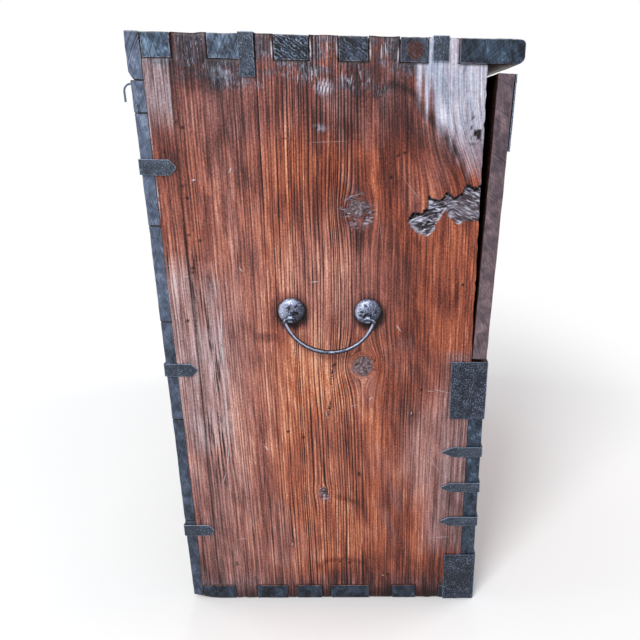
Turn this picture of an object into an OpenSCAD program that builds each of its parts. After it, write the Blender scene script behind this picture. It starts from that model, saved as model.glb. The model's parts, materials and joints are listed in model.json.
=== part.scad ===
// Rustic blanket chest: the upper half of its front is a drop flap on three hinges.
// X runs along the width, the front faces -Y and Z is up. The origin is on the floor,
// under the middle of the carcass. All lengths are in millimetres.

/* [Carcass] */
// Width over the two end boards
chest_w = 900; // [760:10:1300]
// Depth from the back boards' outer face to the lower front's outer face
chest_d = 450; // [430:5:600]
// Height from the floor to the top surface
chest_h = 833; // [740:1:960]
// Thickness of the end boards
end_t = 22; // [20:0.5:30]
// Thickness of the top board
top_t = 29; // [22:0.5:34]
// Thickness of the floor board
floor_t = 25; // [18:0.5:34]
// Thickness of the lower front board
front_t = 22; // [18:0.5:28]
// Thickness of the back boards
back_t = 17; // [14:0.5:24]
// How far the top board overhangs the front
overhang = 23; // [18:0.5:26]
// Radius of the top board's upper front corner
nose_upper_r = 4.5; // [2:0.5:8]
// Radius of the top board's lower front corner
nose_lower_r = 9.5; // [5:0.5:12]
// Width of the narrow rear strip in each end
strip_w = 30; // [20:1:34]
// Height of the thicker rail at the top of the back
rail_h = 54; // [40:1:60]
// How far the rail stands out behind the back boards
rail_out = 2; // [1:0.5:8]

/* [Flap] */
// Height of the lower front board
front_h = 418; // [400:1:440]
// Gap between the lower front board and the closed flap
flap_low_gap = 2; // [1:0.25:4]
// Gap between the closed flap and the underside of the top board
flap_top_gap = 9; // [4:0.5:14]
// How far the flap leans out as it stands ajar, in degrees
ajar = 1.85; // [0.5:0.05:2]
// Gap between the closed flap and the end boards' front edges
flap_seat_gap = 0.3; // [0.2:0.1:1]

/* [Hinges] */
// Distance between neighbouring hinges
hinge_pitch = 300; // [220:5:330]
// Outer radius of a hinge barrel
barrel_r = 5.5; // [4.5:0.25:7]
// Radius of a hinge pin
hinge_pin_r = 2.4; // [1.8:0.1:2.8]
// Length of a hinge barrel
barrel_w = 48; // [40:1:60]
// Width of a hinge leaf at its far end
leaf_w = 64; // [52:1:80]
// Height of a hinge leaf's plate
leaf_h = 70; // [50:1:80]
// Thickness of the forged plates on the front
plate_t = 2.5; // [1.5:0.25:3.5]

/* [Corner irons] */
// Height of the irons at the lower front board's upper corners
upper_iron_h = 90; // [70:1:110]
// Length of these irons' leg on the end
upper_iron_len = 50; // [40:1:70]
// Height of the irons at the bottom front corners
bottom_iron_h = 87; // [60:1:100]
// Length of the bottom irons' leg on the end
bottom_iron_len = 48; // [36:1:60]
// Width of the pointed corner straps
point_strap_w = 17; // [12:0.5:24]
// Length of a pointed strap's leg, with its tip
point_strap_len = 58; // [40:1:75]
// Length of the pointed tip
point_len = 15; // [8:1:22]
// Height of the lowest pointed strap's middle above the floor
point_strap_low = 150; // [140:1:160]
// Distance between neighbouring pointed straps
point_strap_pitch = 61.5; // [50:0.5:64]
// Thickness of the straps round the back corners and over the top
strap_t = 2; // [1:0.25:3]
// Width of the back straps
back_strap_w = 20; // [14:0.5:26]
// Length of a back strap's leg on the end
back_strap_len = 45; // [34:1:60]
// Height of the lowest back strap's middle above the floor
back_strap_low = 133; // [100:1:160]
// Distance from the top surface down to the highest back strap's middle
back_strap_high = 155; // [100:1:180]
// Width of the straps over the top's end edges
top_strap_w = 19; // [14:0.5:21]
// How far a top strap hangs down the end
top_strap_drop = 48; // [32:1:70]
// Length of a top strap's leg on the top
top_strap_in = 60; // [40:1:100]

/* [Handles] */
// Height of the rosettes' middle above the floor
rosette_z = 491; // [460:1:520]
// Distance between a handle's two rosettes
handle_span = 103.5; // [90:0.5:130]
// How far the handle's middle is in front of the end's middle
handle_forward = 6.5; // [0:0.5:15]
// Radius of a rosette
rosette_r = 18.75; // [15:0.25:22]
// Height of a rosette's dome
rosette_h = 8.5; // [5:0.5:10]
// How far the eyes are below their rosettes' middle
eye_below = 7; // [5:0.5:9]
// Outer radius of an eye
eye_r = 5; // [4.2:0.2:6]
// Width of an eye along the bail's pins
eye_w = 6; // [4:0.5:7]
// Radius of the bail's pins
bail_pin_r = 2.3; // [1.8:0.1:2.5]
// Radius of the bail's curved bar
bail_r = 3.1; // [2.6:0.1:4]
// Drop from the bail's pins to the lowest point of its bar
bail_drop = 48; // [42:1:60]

/* [Lock] */
// Width of the lock plate
lock_plate_w = 112; // [90:2:140]
// Height of the lock plate
lock_plate_h = 92; // [76:1:96]
// Radius of the padlock hole in the staple
padlock_r = 5; // [3.5:0.25:6]
// Thickness of the staple's lug
lug_t = 6; // [4:0.5:8]
// Distance from the top surface down to the padlock hole
padlock_drop = 88; // [78:1:96]
// Width of the hasp
hasp_w = 34; // [28:1:44]
// Thickness of the hasp and its strap
hasp_t = 3; // [2:0.25:4]
// How far the hasp steps in under the top board
hasp_step = 8; // [6:0.5:9]
// Outer radius of the hasp's knuckles
knuckle_r = 4.5; // [4:0.25:6]
// Radius of the hasp's pin
hasp_pin_r = 2; // [1.5:0.1:2.2]
// Length of the strap that holds the hasp on the top board
hasp_strap_len = 88; // [70:1:120]

/* [Nails] */
// Radius of a nail's head
nail_head_r = 3.2; // [2.4:0.1:4]
// Height of a nail's head
nail_head_h = 1.6; // [0.8:0.1:2.4]
// Radius of a nail's shank
nail_r = 1.1; // [0.8:0.1:1.4]
// Length of a nail's shank
nail_len = 13; // [9:0.5:16]

/* [Hidden] */
$fn = 48;

// Planes of the carcass
half_w = chest_w / 2;
front_y = -chest_d / 2;
back_y = chest_d / 2;
inner_back_y = back_y - back_t;
end_front_y = front_y + front_t;
top_z = chest_h - top_t;
nose_y = front_y - overhang;

// Places along an end are measured forwards from the back boards' outer face
function from_back(distance) = back_y - distance;
strip_front = back_t + strip_w;
// The end board's fingers reach up through the top board here, as [rear, front]
top_fingers = [[52, 94], [150, 172], [214, 249], [285, 322], [356, 393]];
// The end board's fingers reach down through the floor board here
floor_fingers = [[69, 103], [153, 167], [207, 222], [283, 320], [358, 395]];
finger_root = 5;
rail_low = chest_h - rail_h;
// How the back boards share the height under the rail, from the floor up
back_parts = [150, 174, 149, 131, 138, 37];
function part_sum(i) = i == 0 ? 0 : part_sum(i - 1) + back_parts[i - 1];
function back_low(i) = rail_low * part_sum(i) / part_sum(len(back_parts));

// The flap as closed
flap_low = front_h + flap_low_gap;
flap_high = top_z - flap_top_gap;
flap_t = front_t - flap_seat_gap;
// The hinge line is just in front of the boards, level with the gap
barrel_gap = 0.3;
hinge_y = front_y - barrel_r - barrel_gap;
hinge_z = front_h + flap_low_gap / 2;
pin_play = 0.06;
knuckle_play = 0.4;
leaf_clear = 1;
flap_corner_w = 90;
flap_corner_h = 92;

// The hasp's line is in front of the top board's front end
knuckle_gap = 0.3;
hasp_y = nose_y - knuckle_r - knuckle_gap;
hasp_lift = 0.5;
hasp_z = chest_h + hasp_t + hasp_lift;
padlock_z = chest_h - padlock_drop;
slot_at = hasp_z - padlock_z;
slot_w = lug_t + 6;
lug_wall = 4;
lug_r = padlock_r + lug_wall;
slot_len = 2 * lug_r + 12;
hasp_len = slot_at + slot_len / 2 + 9;
step_from = top_t + 12;
step_run = 18;
hasp_end_r = 6;
// As it hangs, the hasp's lower half is this far in front of the flap's closed face
hasp_hang_y = hasp_y + hasp_lift + hasp_step;
padlock_y = hasp_hang_y - 1.5 - padlock_r;
lock_plate_z = padlock_z - 8;

// The handle's pivot line on the left end
handle_y = -handle_forward;
eye_play = 0.3;
eye_shank_r = 2;
shank_play = 0.15;
eye_shank_depth = end_t - 4;
dome_r = (rosette_r * rosette_r + rosette_h * rosette_h) / (2 * rosette_h);
eye_out = rosette_h + eye_r - 0.5;
pivot_z = rosette_z - eye_below;
bail_arm_r = 2.6;
bail_arm_gap = 2.4;
bail_half = handle_span / 2 + eye_w / 2 + bail_arm_gap + bail_arm_r;
bail_pin_in = handle_span / 2 - eye_w / 2 - 3;
bail_arm_h = 5;
// The curved bar is an arc through both arms' feet and its lowest point
bail_sag = bail_drop - bail_arm_h;
bail_arc_r = (bail_half * bail_half + bail_sag * bail_sag) / (2 * bail_sag);
bail_arc_half = asin(bail_half / bail_arc_r);

// Straps on the ends
back_strap_top = chest_h - back_strap_high;
back_strap_zs = [back_strap_low, (back_strap_low + back_strap_top) / 2 - 3, back_strap_top];
top_strap_at = 131;
broken_strap_at = 361;
broken_strap_w = 20;
broken_strap_end = 27;

wood = "sienna";
end_grain = "slategray";
iron = "darkslategray";

// Boards

module end_body(rear, front) {
    translate([-half_w, from_back(front), floor_t])
        cube([end_t, front - rear, top_z - floor_t]);
}

module left_end_body_board() {
    end_body(strip_front, chest_d - front_t);
    for (f = top_fingers)
        translate([-half_w, from_back(f[1]), top_z - finger_root])
            cube([end_t, f[1] - f[0], top_t + finger_root]);
    for (f = floor_fingers)
        translate([-half_w, from_back(f[1]), 0])
            cube([end_t, f[1] - f[0], floor_t + finger_root]);
}

module left_end_with_holes() {
    difference() {
        left_end_body_board();
        for (side = [-1, 1])
            translate([-half_w - 1, handle_y + side * handle_span / 2, pivot_z])
                rotate([0, 90, 0])
                    cylinder(r = eye_shank_r + shank_play, h = eye_shank_depth + 2);
    }
}

module left_end_board() {
    color(wood) left_end_with_holes();
}

module right_end_board() {
    color(wood) mirror([1, 0, 0]) left_end_with_holes();
}

module left_end_strip() {
    color(wood) end_body(back_t, strip_front);
}

module right_end_strip() {
    color(wood) mirror([1, 0, 0]) end_body(back_t, strip_front);
}

// Section of the top board, with its rounded front end at x = 0
module top_section() {
    depth = inner_back_y - nose_y;
    translate([nose_lower_r, 0]) square([depth - nose_lower_r, top_t]);
    translate([0, nose_lower_r]) square([nose_lower_r, top_t - nose_lower_r - nose_upper_r]);
    translate([nose_upper_r, nose_lower_r])
        square([nose_lower_r, top_t - nose_lower_r]);
    translate([nose_lower_r, nose_lower_r]) circle(nose_lower_r);
    translate([nose_upper_r, top_t - nose_upper_r]) circle(nose_upper_r);
}

module top_board() {
    color(wood) difference() {
        translate([-half_w, nose_y, top_z])
            rotate([90, 0, 90])
                linear_extrude(chest_w) top_section();
        for (side = [0, 1])
            mirror([side, 0, 0])
                for (f = top_fingers)
                    translate([-half_w - 1, from_back(f[1]), top_z - 1])
                        cube([end_t + 1, f[1] - f[0], top_t + 2]);
    }
}

module floor_board() {
    color(wood) difference() {
        translate([-half_w, end_front_y, 0])
            cube([chest_w, inner_back_y - end_front_y, floor_t]);
        for (side = [0, 1])
            mirror([side, 0, 0])
                for (f = floor_fingers)
                    translate([-half_w - 1, from_back(f[1]), -1])
                        cube([end_t + 1, f[1] - f[0], floor_t + 2]);
    }
}

module lower_front_board() {
    color(wood) translate([-half_w, front_y, 0]) cube([chest_w, front_t, front_h]);
}

module back_rail() {
    color(end_grain) translate([-half_w, inner_back_y, rail_low])
        cube([chest_w, back_t + rail_out, rail_h]);
}

module back_board(i) {
    color(end_grain) translate([-half_w, inner_back_y, back_low(i)])
        cube([chest_w, back_t, back_low(i + 1) - back_low(i)]);
}

module back_board_1() { back_board(0); }
module back_board_2() { back_board(1); }
module back_board_3() { back_board(2); }
module back_board_4() { back_board(3); }
module back_board_5() { back_board(4); }
module back_board_6() { back_board(5); }

// Flap

// Everything on the flap is drawn closed and then leans out about the hinge line
module leaning() {
    translate([0, hinge_y, hinge_z])
        rotate([ajar, 0, 0])
            translate([0, -hinge_y, -hinge_z])
                children();
}

module flap_board() {
    color(wood) leaning()
        translate([-half_w, front_y, flap_low])
            cube([chest_w, flap_t, flap_high - flap_low]);
}

module flap_corner_plate() {
    leaning()
        translate([-half_w, front_y, flap_high - flap_corner_h])
            rotate([90, 0, 0])
                linear_extrude(plate_t)
                    square([flap_corner_w, flap_corner_h]);
}

module left_flap_corner_plate() { color(iron) flap_corner_plate(); }
module right_flap_corner_plate() { color(iron) mirror([1, 0, 0]) flap_corner_plate(); }

// Hinges

function hinge_x(i) = (i - 1) * hinge_pitch;
// The flap leaf has the middle third of the barrel, the case leaf the outer thirds
third = barrel_w / 3;

// Outline of a leaf's plate, widening upwards from the barrel
module leaf_outline() {
    near = barrel_r + leaf_clear;
    shoulder = near + 20;
    far = near + leaf_h;
    polygon([
        [-barrel_w / 2, near], [barrel_w / 2, near], [barrel_w / 2, shoulder],
        [leaf_w / 2, shoulder + 10], [leaf_w / 2, far - 8], [leaf_w / 2 - 8, far],
        [8 - leaf_w / 2, far], [-leaf_w / 2, far - 8], [-leaf_w / 2, shoulder + 10],
        [-barrel_w / 2, shoulder]
    ]);
}

// One knuckle about the x axis from x0 to x1, with the neck that ties it to the plate
module knuckle(x0, x1) {
    translate([x0, 0, 0]) rotate([0, 90, 0]) cylinder(r = barrel_r, h = x1 - x0);
    translate([x0, barrel_r + barrel_gap - plate_t, 0])
        cube([x1 - x0, plate_t - barrel_gap, barrel_r + leaf_clear + 2]);
}

// A leaf about the x axis with its plate upwards, on a face barrel_gap behind the barrel
module hinge_leaf(knuckles) {
    difference() {
        union() {
            translate([0, barrel_r + barrel_gap, 0])
                rotate([90, 0, 0])
                    linear_extrude(plate_t) leaf_outline();
            for (k = knuckles)
                knuckle(k[0], k[1]);
        }
        translate([-barrel_w, 0, 0])
            rotate([0, 90, 0])
                cylinder(r = hinge_pin_r + pin_play, h = 2 * barrel_w);
    }
}

flap_knuckles = [[-third / 2 + knuckle_play, third / 2 - knuckle_play]];
case_knuckles = [[-barrel_w / 2, -third / 2], [third / 2, barrel_w / 2]];

module flap_leaf(i) {
    color(iron) leaning()
        translate([hinge_x(i), hinge_y, hinge_z]) hinge_leaf(flap_knuckles);
}

module case_leaf(i) {
    color(iron) translate([hinge_x(i), hinge_y, hinge_z])
        mirror([0, 0, 1]) hinge_leaf(case_knuckles);
}

module left_hinge_flap_leaf() { flap_leaf(0); }
module middle_hinge_flap_leaf() { flap_leaf(1); }
module right_hinge_flap_leaf() { flap_leaf(2); }
module left_hinge_case_leaf() { case_leaf(0); }
module middle_hinge_case_leaf() { case_leaf(1); }
module right_hinge_case_leaf() { case_leaf(2); }

pin_head_t = 1.6;
pin_head_r = hinge_pin_r + 1.2;

// A headed pin along the x axis through a barrel of the given length
module headed_pin(r, head_r, length) {
    rotate([0, 90, 0]) cylinder(r = r, h = length + 2 * pin_head_t, center = true);
    for (side = [-1, 1])
        translate([side * (length + pin_head_t) / 2, 0, 0])
            rotate([0, 90, 0]) cylinder(r = head_r, h = pin_head_t, center = true);
}

module hinge_pins() {
    color(iron) for (i = [0:2])
        translate([hinge_x(i), hinge_y, hinge_z])
            headed_pin(hinge_pin_r, pin_head_r, barrel_w);
}

// Lock

module lock_plate() {
    notch = 12;
    w = lock_plate_w / 2;
    h = lock_plate_h / 2;
    color(iron) leaning()
        translate([0, front_y, lock_plate_z])
            rotate([90, 0, 0])
                linear_extrude(plate_t)
                    polygon([
                        [-w + notch, -h], [w - notch, -h], [w, -h + notch], [w, h - notch],
                        [w - notch, h], [-w + notch, h], [-w, h - notch], [-w, -h + notch]
                    ]);
}

module lock_staple() {
    lug_from = front_y - plate_t;
    color(iron) leaning() difference() {
        union() {
            translate([-lug_t / 2, padlock_y, padlock_z - lug_r])
                cube([lug_t, lug_from - padlock_y, 2 * lug_r]);
            translate([-lug_t / 2, padlock_y, padlock_z])
                rotate([0, 90, 0]) cylinder(r = lug_r, h = lug_t);
        }
        translate([-lug_t, padlock_y, padlock_z])
            rotate([0, 90, 0]) cylinder(r = padlock_r, h = 2 * lug_t);
    }
}

// The hasp's hinge: the strap has the outer knuckles, the hasp the middle one
hasp_knuckle_w = 14;
strap_knuckle_w = (hasp_w - hasp_knuckle_w) / 2;

module hasp_strap() {
    color(iron) difference() {
        union() {
            translate([-hasp_w / 2, nose_y, chest_h])
                cube([hasp_w, hasp_strap_len, hasp_t]);
            for (side = [0, 1])
                mirror([side, 0, 0]) {
                    translate([-hasp_w / 2, hasp_y, chest_h])
                        cube([strap_knuckle_w, nose_y - hasp_y + 1, hasp_t]);
                    translate([-hasp_w / 2, hasp_y, hasp_z])
                        rotate([0, 90, 0]) cylinder(r = knuckle_r, h = strap_knuckle_w);
                }
        }
        translate([-hasp_w, hasp_y, hasp_z])
            rotate([0, 90, 0]) cylinder(r = hasp_pin_r + pin_play, h = 2 * hasp_w);
    }
}

// The hasp's outline from above, with the hinge line at y = 0
module hasp_plan() {
    wide_from = knuckle_r + leaf_clear;
    square_w = hasp_knuckle_w - 2 * knuckle_play;
    translate([-square_w / 2, 0]) square([square_w, wide_from + 2]);
    translate([-hasp_w / 2, wide_from])
        square([hasp_w, hasp_len - wide_from - hasp_end_r]);
    translate([-hasp_w / 2 + hasp_end_r, hasp_len - 2 * hasp_end_r])
        square([hasp_w - 2 * hasp_end_r, 2 * hasp_end_r]);
    for (side = [-1, 1])
        translate([side * (hasp_w / 2 - hasp_end_r), hasp_len - hasp_end_r])
            circle(hasp_end_r);
}

module hasp_slot() {
    translate([-slot_w / 2, slot_at - slot_len / 2 + slot_w / 2])
        square([slot_w, slot_len - slot_w]);
    for (side = [-1, 1])
        translate([0, slot_at + side * (slot_len - slot_w) / 2]) circle(slot_w / 2);
}

// The hasp lies back on the top board, its stepped end upwards
module hasp() {
    knuckle_w = hasp_knuckle_w - 2 * knuckle_play;
    color(iron) translate([0, hasp_y, hasp_z]) difference() {
        union() {
            intersection() {
                translate([-hasp_w, 0, 0])
                    rotate([90, 0, 90])
                        linear_extrude(2 * hasp_w)
                            polygon([
                                [0, hasp_lift], [step_from, hasp_lift],
                                [step_from + step_run, hasp_lift + hasp_step],
                                [hasp_len, hasp_lift + hasp_step],
                                [hasp_len, hasp_lift + hasp_step + hasp_t],
                                [step_from + step_run, hasp_lift + hasp_step + hasp_t],
                                [step_from, hasp_lift + hasp_t], [0, hasp_lift + hasp_t]
                            ]);
                linear_extrude(hasp_step + 2 * hasp_t) hasp_plan();
            }
            translate([-knuckle_w / 2, 0, 0])
                rotate([0, 90, 0]) cylinder(r = knuckle_r, h = knuckle_w);
        }
        translate([-hasp_w, 0, 0])
            rotate([0, 90, 0]) cylinder(r = hasp_pin_r + pin_play, h = 2 * hasp_w);
        linear_extrude(hasp_step + 3 * hasp_t) hasp_slot();
    }
}

module hasp_pin() {
    color(iron) translate([0, hasp_y, hasp_z])
        headed_pin(hasp_pin_r, hasp_pin_r + 1, hasp_w);
}

// Irons round the corners

// A flat strip from x = 0 to its tip, with a blunt point of the given length
module pointed_strip(length, wide, point) {
    blunt = point > 0 ? 1.5 : wide / 2;
    polygon([
        [0, -wide / 2], [length - point, -wide / 2], [length, -blunt],
        [length, blunt], [length - point, wide / 2], [0, wide / 2]
    ]);
}

// A strap round a vertical edge at the origin: one leg runs along +Y on the end,
// the other along +X on the face, and the wood is at +X, +Y
module corner_strap(wide, end_len, face_len, point, thick) {
    translate([-thick, 0, 0])
        rotate([90, 0, 90])
            linear_extrude(thick) pointed_strip(end_len, wide, point);
    rotate([90, 0, 0])
        linear_extrude(thick) pointed_strip(face_len, wide, point);
    intersection() {
        cylinder(r = thick, h = wide, center = true);
        translate([-thick, -thick, -wide / 2]) cube([thick, thick, wide]);
    }
}

module at_front_corner(z) {
    translate([-half_w, front_y, z]) children();
}

module at_back_corner(z) {
    translate([-half_w, back_y, z]) mirror([0, 1, 0]) children();
}

module upper_corner_iron() {
    at_front_corner(front_h - upper_iron_h / 2)
        corner_strap(upper_iron_h, upper_iron_len, upper_iron_len, 0, plate_t);
}

module bottom_corner_iron() {
    at_front_corner(bottom_iron_h / 2)
        corner_strap(bottom_iron_h, bottom_iron_len, bottom_iron_len, 0, plate_t);
}

module pointed_corner_strap(i) {
    at_front_corner(point_strap_low + i * point_strap_pitch)
        corner_strap(point_strap_w, point_strap_len, point_strap_len, point_len, plate_t);
}

module back_corner_strap(i) {
    at_back_corner(back_strap_zs[i])
        corner_strap(back_strap_w, back_strap_len, back_strap_len, 8, strap_t);
}

module left_upper_corner_iron() { color(iron) upper_corner_iron(); }
module right_upper_corner_iron() { color(iron) mirror([1, 0, 0]) upper_corner_iron(); }
module left_bottom_corner_iron() { color(iron) bottom_corner_iron(); }
module right_bottom_corner_iron() { color(iron) mirror([1, 0, 0]) bottom_corner_iron(); }
module left_corner_strap_1() { color(iron) pointed_corner_strap(0); }
module left_corner_strap_2() { color(iron) pointed_corner_strap(1); }
module left_corner_strap_3() { color(iron) pointed_corner_strap(2); }
module right_corner_strap_1() { color(iron) mirror([1, 0, 0]) pointed_corner_strap(0); }
module right_corner_strap_2() { color(iron) mirror([1, 0, 0]) pointed_corner_strap(1); }
module right_corner_strap_3() { color(iron) mirror([1, 0, 0]) pointed_corner_strap(2); }
module left_back_strap_1() { color(iron) back_corner_strap(0); }
module left_back_strap_2() { color(iron) back_corner_strap(1); }
module left_back_strap_3() { color(iron) back_corner_strap(2); }
module right_back_strap_1() { color(iron) mirror([1, 0, 0]) back_corner_strap(0); }
module right_back_strap_2() { color(iron) mirror([1, 0, 0]) back_corner_strap(1); }
module right_back_strap_3() { color(iron) mirror([1, 0, 0]) back_corner_strap(2); }

// A strap over the top's end edge, from its rear side at the given distance
module over_top(at, wide, drop, inward, thick) {
    translate([-half_w - thick, from_back(at + wide), chest_h - drop])
        cube([thick, wide, drop]);
    translate([-half_w, from_back(at + wide), chest_h])
        cube([inward, wide, thick]);
    translate([-half_w, from_back(at), chest_h])
        rotate([90, 0, 0])
            intersection() {
                cylinder(r = thick, h = wide);
                translate([-thick, 0, 0]) cube([thick, thick, wide]);
            }
}

module top_strap() {
    over_top(top_strap_at, top_strap_w, top_strap_drop, top_strap_in, strap_t);
}

module left_top_strap() { color(iron) top_strap(); }
module right_top_strap() { color(iron) mirror([1, 0, 0]) top_strap(); }

// This strap's hanging leg has broken off where the top board's underside is
module left_broken_strap() {
    color(iron)
        over_top(broken_strap_at, broken_strap_w, broken_strap_end, top_strap_in / 2, strap_t);
}

// Handles

module handle_places() {
    for (side = [-1, 1])
        translate([-half_w, handle_y + side * handle_span / 2, 0]) children();
}

module rosettes() {
    handle_places() difference() {
        translate([0, 0, rosette_z])
            rotate([0, -90, 0])
                intersection() {
                    translate([0, 0, rosette_h - dome_r]) sphere(dome_r);
                    cylinder(r = 2 * rosette_r, h = 2 * rosette_h);
                }
        translate([1, 0, pivot_z])
            rotate([0, -90, 0])
                cylinder(r = eye_shank_r + shank_play, h = 2 * rosette_h);
    }
}

module left_handle_rosettes() { color(iron) rosettes(); }
module right_handle_rosettes() { color(iron) mirror([1, 0, 0]) rosettes(); }

module eyes() {
    handle_places() translate([0, 0, pivot_z]) difference() {
        union() {
            translate([-eye_out, 0, 0])
                rotate([90, 0, 0]) cylinder(r = eye_r, h = eye_w, center = true);
            translate([-eye_out, 0, 0])
                rotate([0, 90, 0]) cylinder(r = eye_shank_r, h = eye_out + eye_shank_depth);
        }
        translate([-eye_out, 0, 0])
            rotate([90, 0, 0])
                cylinder(r = bail_pin_r + eye_play, h = 2 * eye_w, center = true);
    }
}

module handle_eyes() {
    color(iron) for (side = [0, 1]) mirror([side, 0, 0]) eyes();
}

// One end of the bail: a pin along y through the eye, and the short arm below it
module bail_end() {
    translate([0, bail_pin_in, 0])
        rotate([-90, 0, 0]) cylinder(r = bail_pin_r, h = bail_half - bail_pin_in);
    translate([0, bail_half, 0]) sphere(bail_arm_r);
    translate([0, bail_half, -bail_arm_h]) cylinder(r = bail_arm_r, h = bail_arm_h);
    translate([0, bail_half, -bail_arm_h]) sphere(bail_r);
}

// The bail hangs from its pivot line, its bar one smooth arc
module bail() {
    translate([-half_w - eye_out, handle_y, pivot_z]) {
        for (side = [0, 1]) mirror([0, side, 0]) bail_end();
        translate([0, 0, bail_arc_r - bail_drop])
            rotate([90, 0, 90])
                rotate([0, 0, -90 - bail_arc_half])
                    rotate_extrude(angle = 2 * bail_arc_half)
                        translate([bail_arc_r, 0]) circle(bail_r);
    }
}

module left_bail() { color(iron) bail(); }
module right_bail() { color(iron) mirror([1, 0, 0]) bail(); }

// Small irons at the upper back

hook_r = 1.4;
hook_bend_r = 9;
hook_x = -half_w + 7;
hook_z = rail_low - 4;
hook_drop = 12;

module back_hook() {
    color(iron) translate([hook_x, back_y, hook_z]) {
        rotate([-90, 0, 0]) cylinder(r = hook_r, h = 1.5);
        translate([0, 1.5, -hook_bend_r])
            rotate([90, 0, 90])
                rotate_extrude(angle = 90) translate([hook_bend_r, 0]) circle(hook_r);
        translate([0, 1.5 + hook_bend_r, -hook_bend_r - hook_drop])
            cylinder(r = hook_r, h = hook_drop);
    }
}

staple_r = 1.1;
staple_h = 8;
staple_out = 3;
staple_z = rail_low - 32;

module back_staple() {
    color(iron) translate([-half_w, back_y - 6, staple_z]) {
        for (side = [-1, 1]) {
            translate([-staple_out, 0, side * staple_h / 2])
                rotate([0, 90, 0]) cylinder(r = staple_r, h = staple_out);
            translate([-staple_out, 0, side * staple_h / 2]) sphere(staple_r);
        }
        translate([-staple_out, 0, -staple_h / 2]) cylinder(r = staple_r, h = staple_h);
    }
}

// Nails

// A nail along the z axis, its head's seat at z = 0
module nail() {
    cylinder(r1 = nail_head_r, r2 = nail_head_r * 0.55, h = nail_head_h);
    translate([0, 0, -nail_len]) cylinder(r = nail_r, h = nail_len + nail_head_h / 2);
}

// A nail in the left end, on a plate of the given thickness
module end_nail(y, z, thick) {
    translate([-half_w - thick, y, z]) rotate([0, -90, 0]) nail();
}

module front_nail(x, z) {
    translate([x, front_y - plate_t, z]) rotate([90, 0, 0]) nail();
}

module back_nail(x, z) {
    translate([x, back_y + strap_t, z]) rotate([-90, 0, 0]) nail();
}

nail_edge = 9;

// Nails in both legs of an iron round a front corner, at the given heights
module iron_nails(length, heights) {
    for (z = heights) {
        end_nail(front_y + length - nail_edge, z, plate_t);
        front_nail(-half_w + length - nail_edge, z);
    }
}

module left_nails() {
    iron_nails(upper_iron_len, [front_h - nail_edge, front_h - upper_iron_h + nail_edge]);
    iron_nails(bottom_iron_len, [bottom_iron_h - nail_edge, nail_edge]);
    iron_nails(point_strap_len - point_len / 2,
        [for (i = [0:2]) point_strap_low + i * point_strap_pitch]);
    for (z = back_strap_zs) {
        end_nail(back_y - back_strap_len + nail_edge, z, strap_t);
        back_nail(-half_w + back_strap_len - nail_edge, z);
    }
    for (drop = [6, top_strap_drop - 6])
        end_nail(from_back(top_strap_at + top_strap_w / 2), chest_h - drop, strap_t);
}

// Nails through a leaf's plate, drawn upwards from the hinge line
module leaf_nails() {
    high = barrel_r + leaf_clear + leaf_h - nail_edge;
    low = barrel_r + leaf_clear + nail_edge;
    for (side = [-1, 1]) {
        translate([side * (leaf_w / 2 - nail_edge), 0, high]) children();
        translate([side * (barrel_w / 2 - nail_edge), 0, low]) children();
    }
}

module leaf_nail() {
    translate([0, barrel_r + barrel_gap - plate_t, 0]) rotate([90, 0, 0]) nail();
}

module case_nails() {
    color(iron) {
        for (side = [0, 1]) mirror([side, 0, 0]) left_nails();
        for (i = [0:2])
            translate([hinge_x(i), hinge_y, hinge_z])
                mirror([0, 0, 1]) leaf_nails() leaf_nail();
        for (back = [nail_edge, nail_edge + 24])
            translate([0, nose_y + hasp_strap_len - back, chest_h + hasp_t]) nail();
    }
}

module flap_nails() {
    plate_low = flap_high - flap_corner_h;
    color(iron) leaning() {
        for (i = [0:2])
            translate([hinge_x(i), hinge_y, hinge_z]) leaf_nails() leaf_nail();
        for (side = [-1, 1]) {
            for (x = [half_w - nail_edge, half_w - flap_corner_w + nail_edge])
                for (z = [plate_low + nail_edge, flap_high - nail_edge])
                    front_nail(side * x, z);
            for (z = [-1, 1])
                front_nail(side * (lock_plate_w / 2 - 2 * nail_edge),
                    lock_plate_z + z * (lock_plate_h / 2 - 1.5 * nail_edge));
        }
    }
}

top_board();
floor_board();
left_end_board();
left_end_strip();
right_end_board();
right_end_strip();
lower_front_board();
back_rail();
back_board_1();
back_board_2();
back_board_3();
back_board_4();
back_board_5();
back_board_6();
flap_board();
left_hinge_flap_leaf();
middle_hinge_flap_leaf();
right_hinge_flap_leaf();
left_hinge_case_leaf();
middle_hinge_case_leaf();
right_hinge_case_leaf();
hinge_pins();
lock_plate();
lock_staple();
hasp_strap();
hasp();
hasp_pin();
left_flap_corner_plate();
right_flap_corner_plate();
left_upper_corner_iron();
right_upper_corner_iron();
left_bottom_corner_iron();
right_bottom_corner_iron();
left_corner_strap_1();
left_corner_strap_2();
left_corner_strap_3();
right_corner_strap_1();
right_corner_strap_2();
right_corner_strap_3();
left_back_strap_1();
left_back_strap_2();
left_back_strap_3();
right_back_strap_1();
right_back_strap_2();
right_back_strap_3();
left_top_strap();
right_top_strap();
left_broken_strap();
left_handle_rosettes();
right_handle_rosettes();
handle_eyes();
left_bail();
right_bail();
back_hook();
back_staple();
case_nails();
flap_nails();
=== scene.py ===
# %% [markdown]
# A rustic blanket chest, seen square on to its left end. The boards are ridged pine under a worn
# reddish-brown lacquer, held together by fingers at the corners and by forged iron straps. The
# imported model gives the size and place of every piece, and this script gives each its wear.

import json
import math

import bpy
import numpy as np
from mathutils import Matrix, Vector, noise

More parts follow.
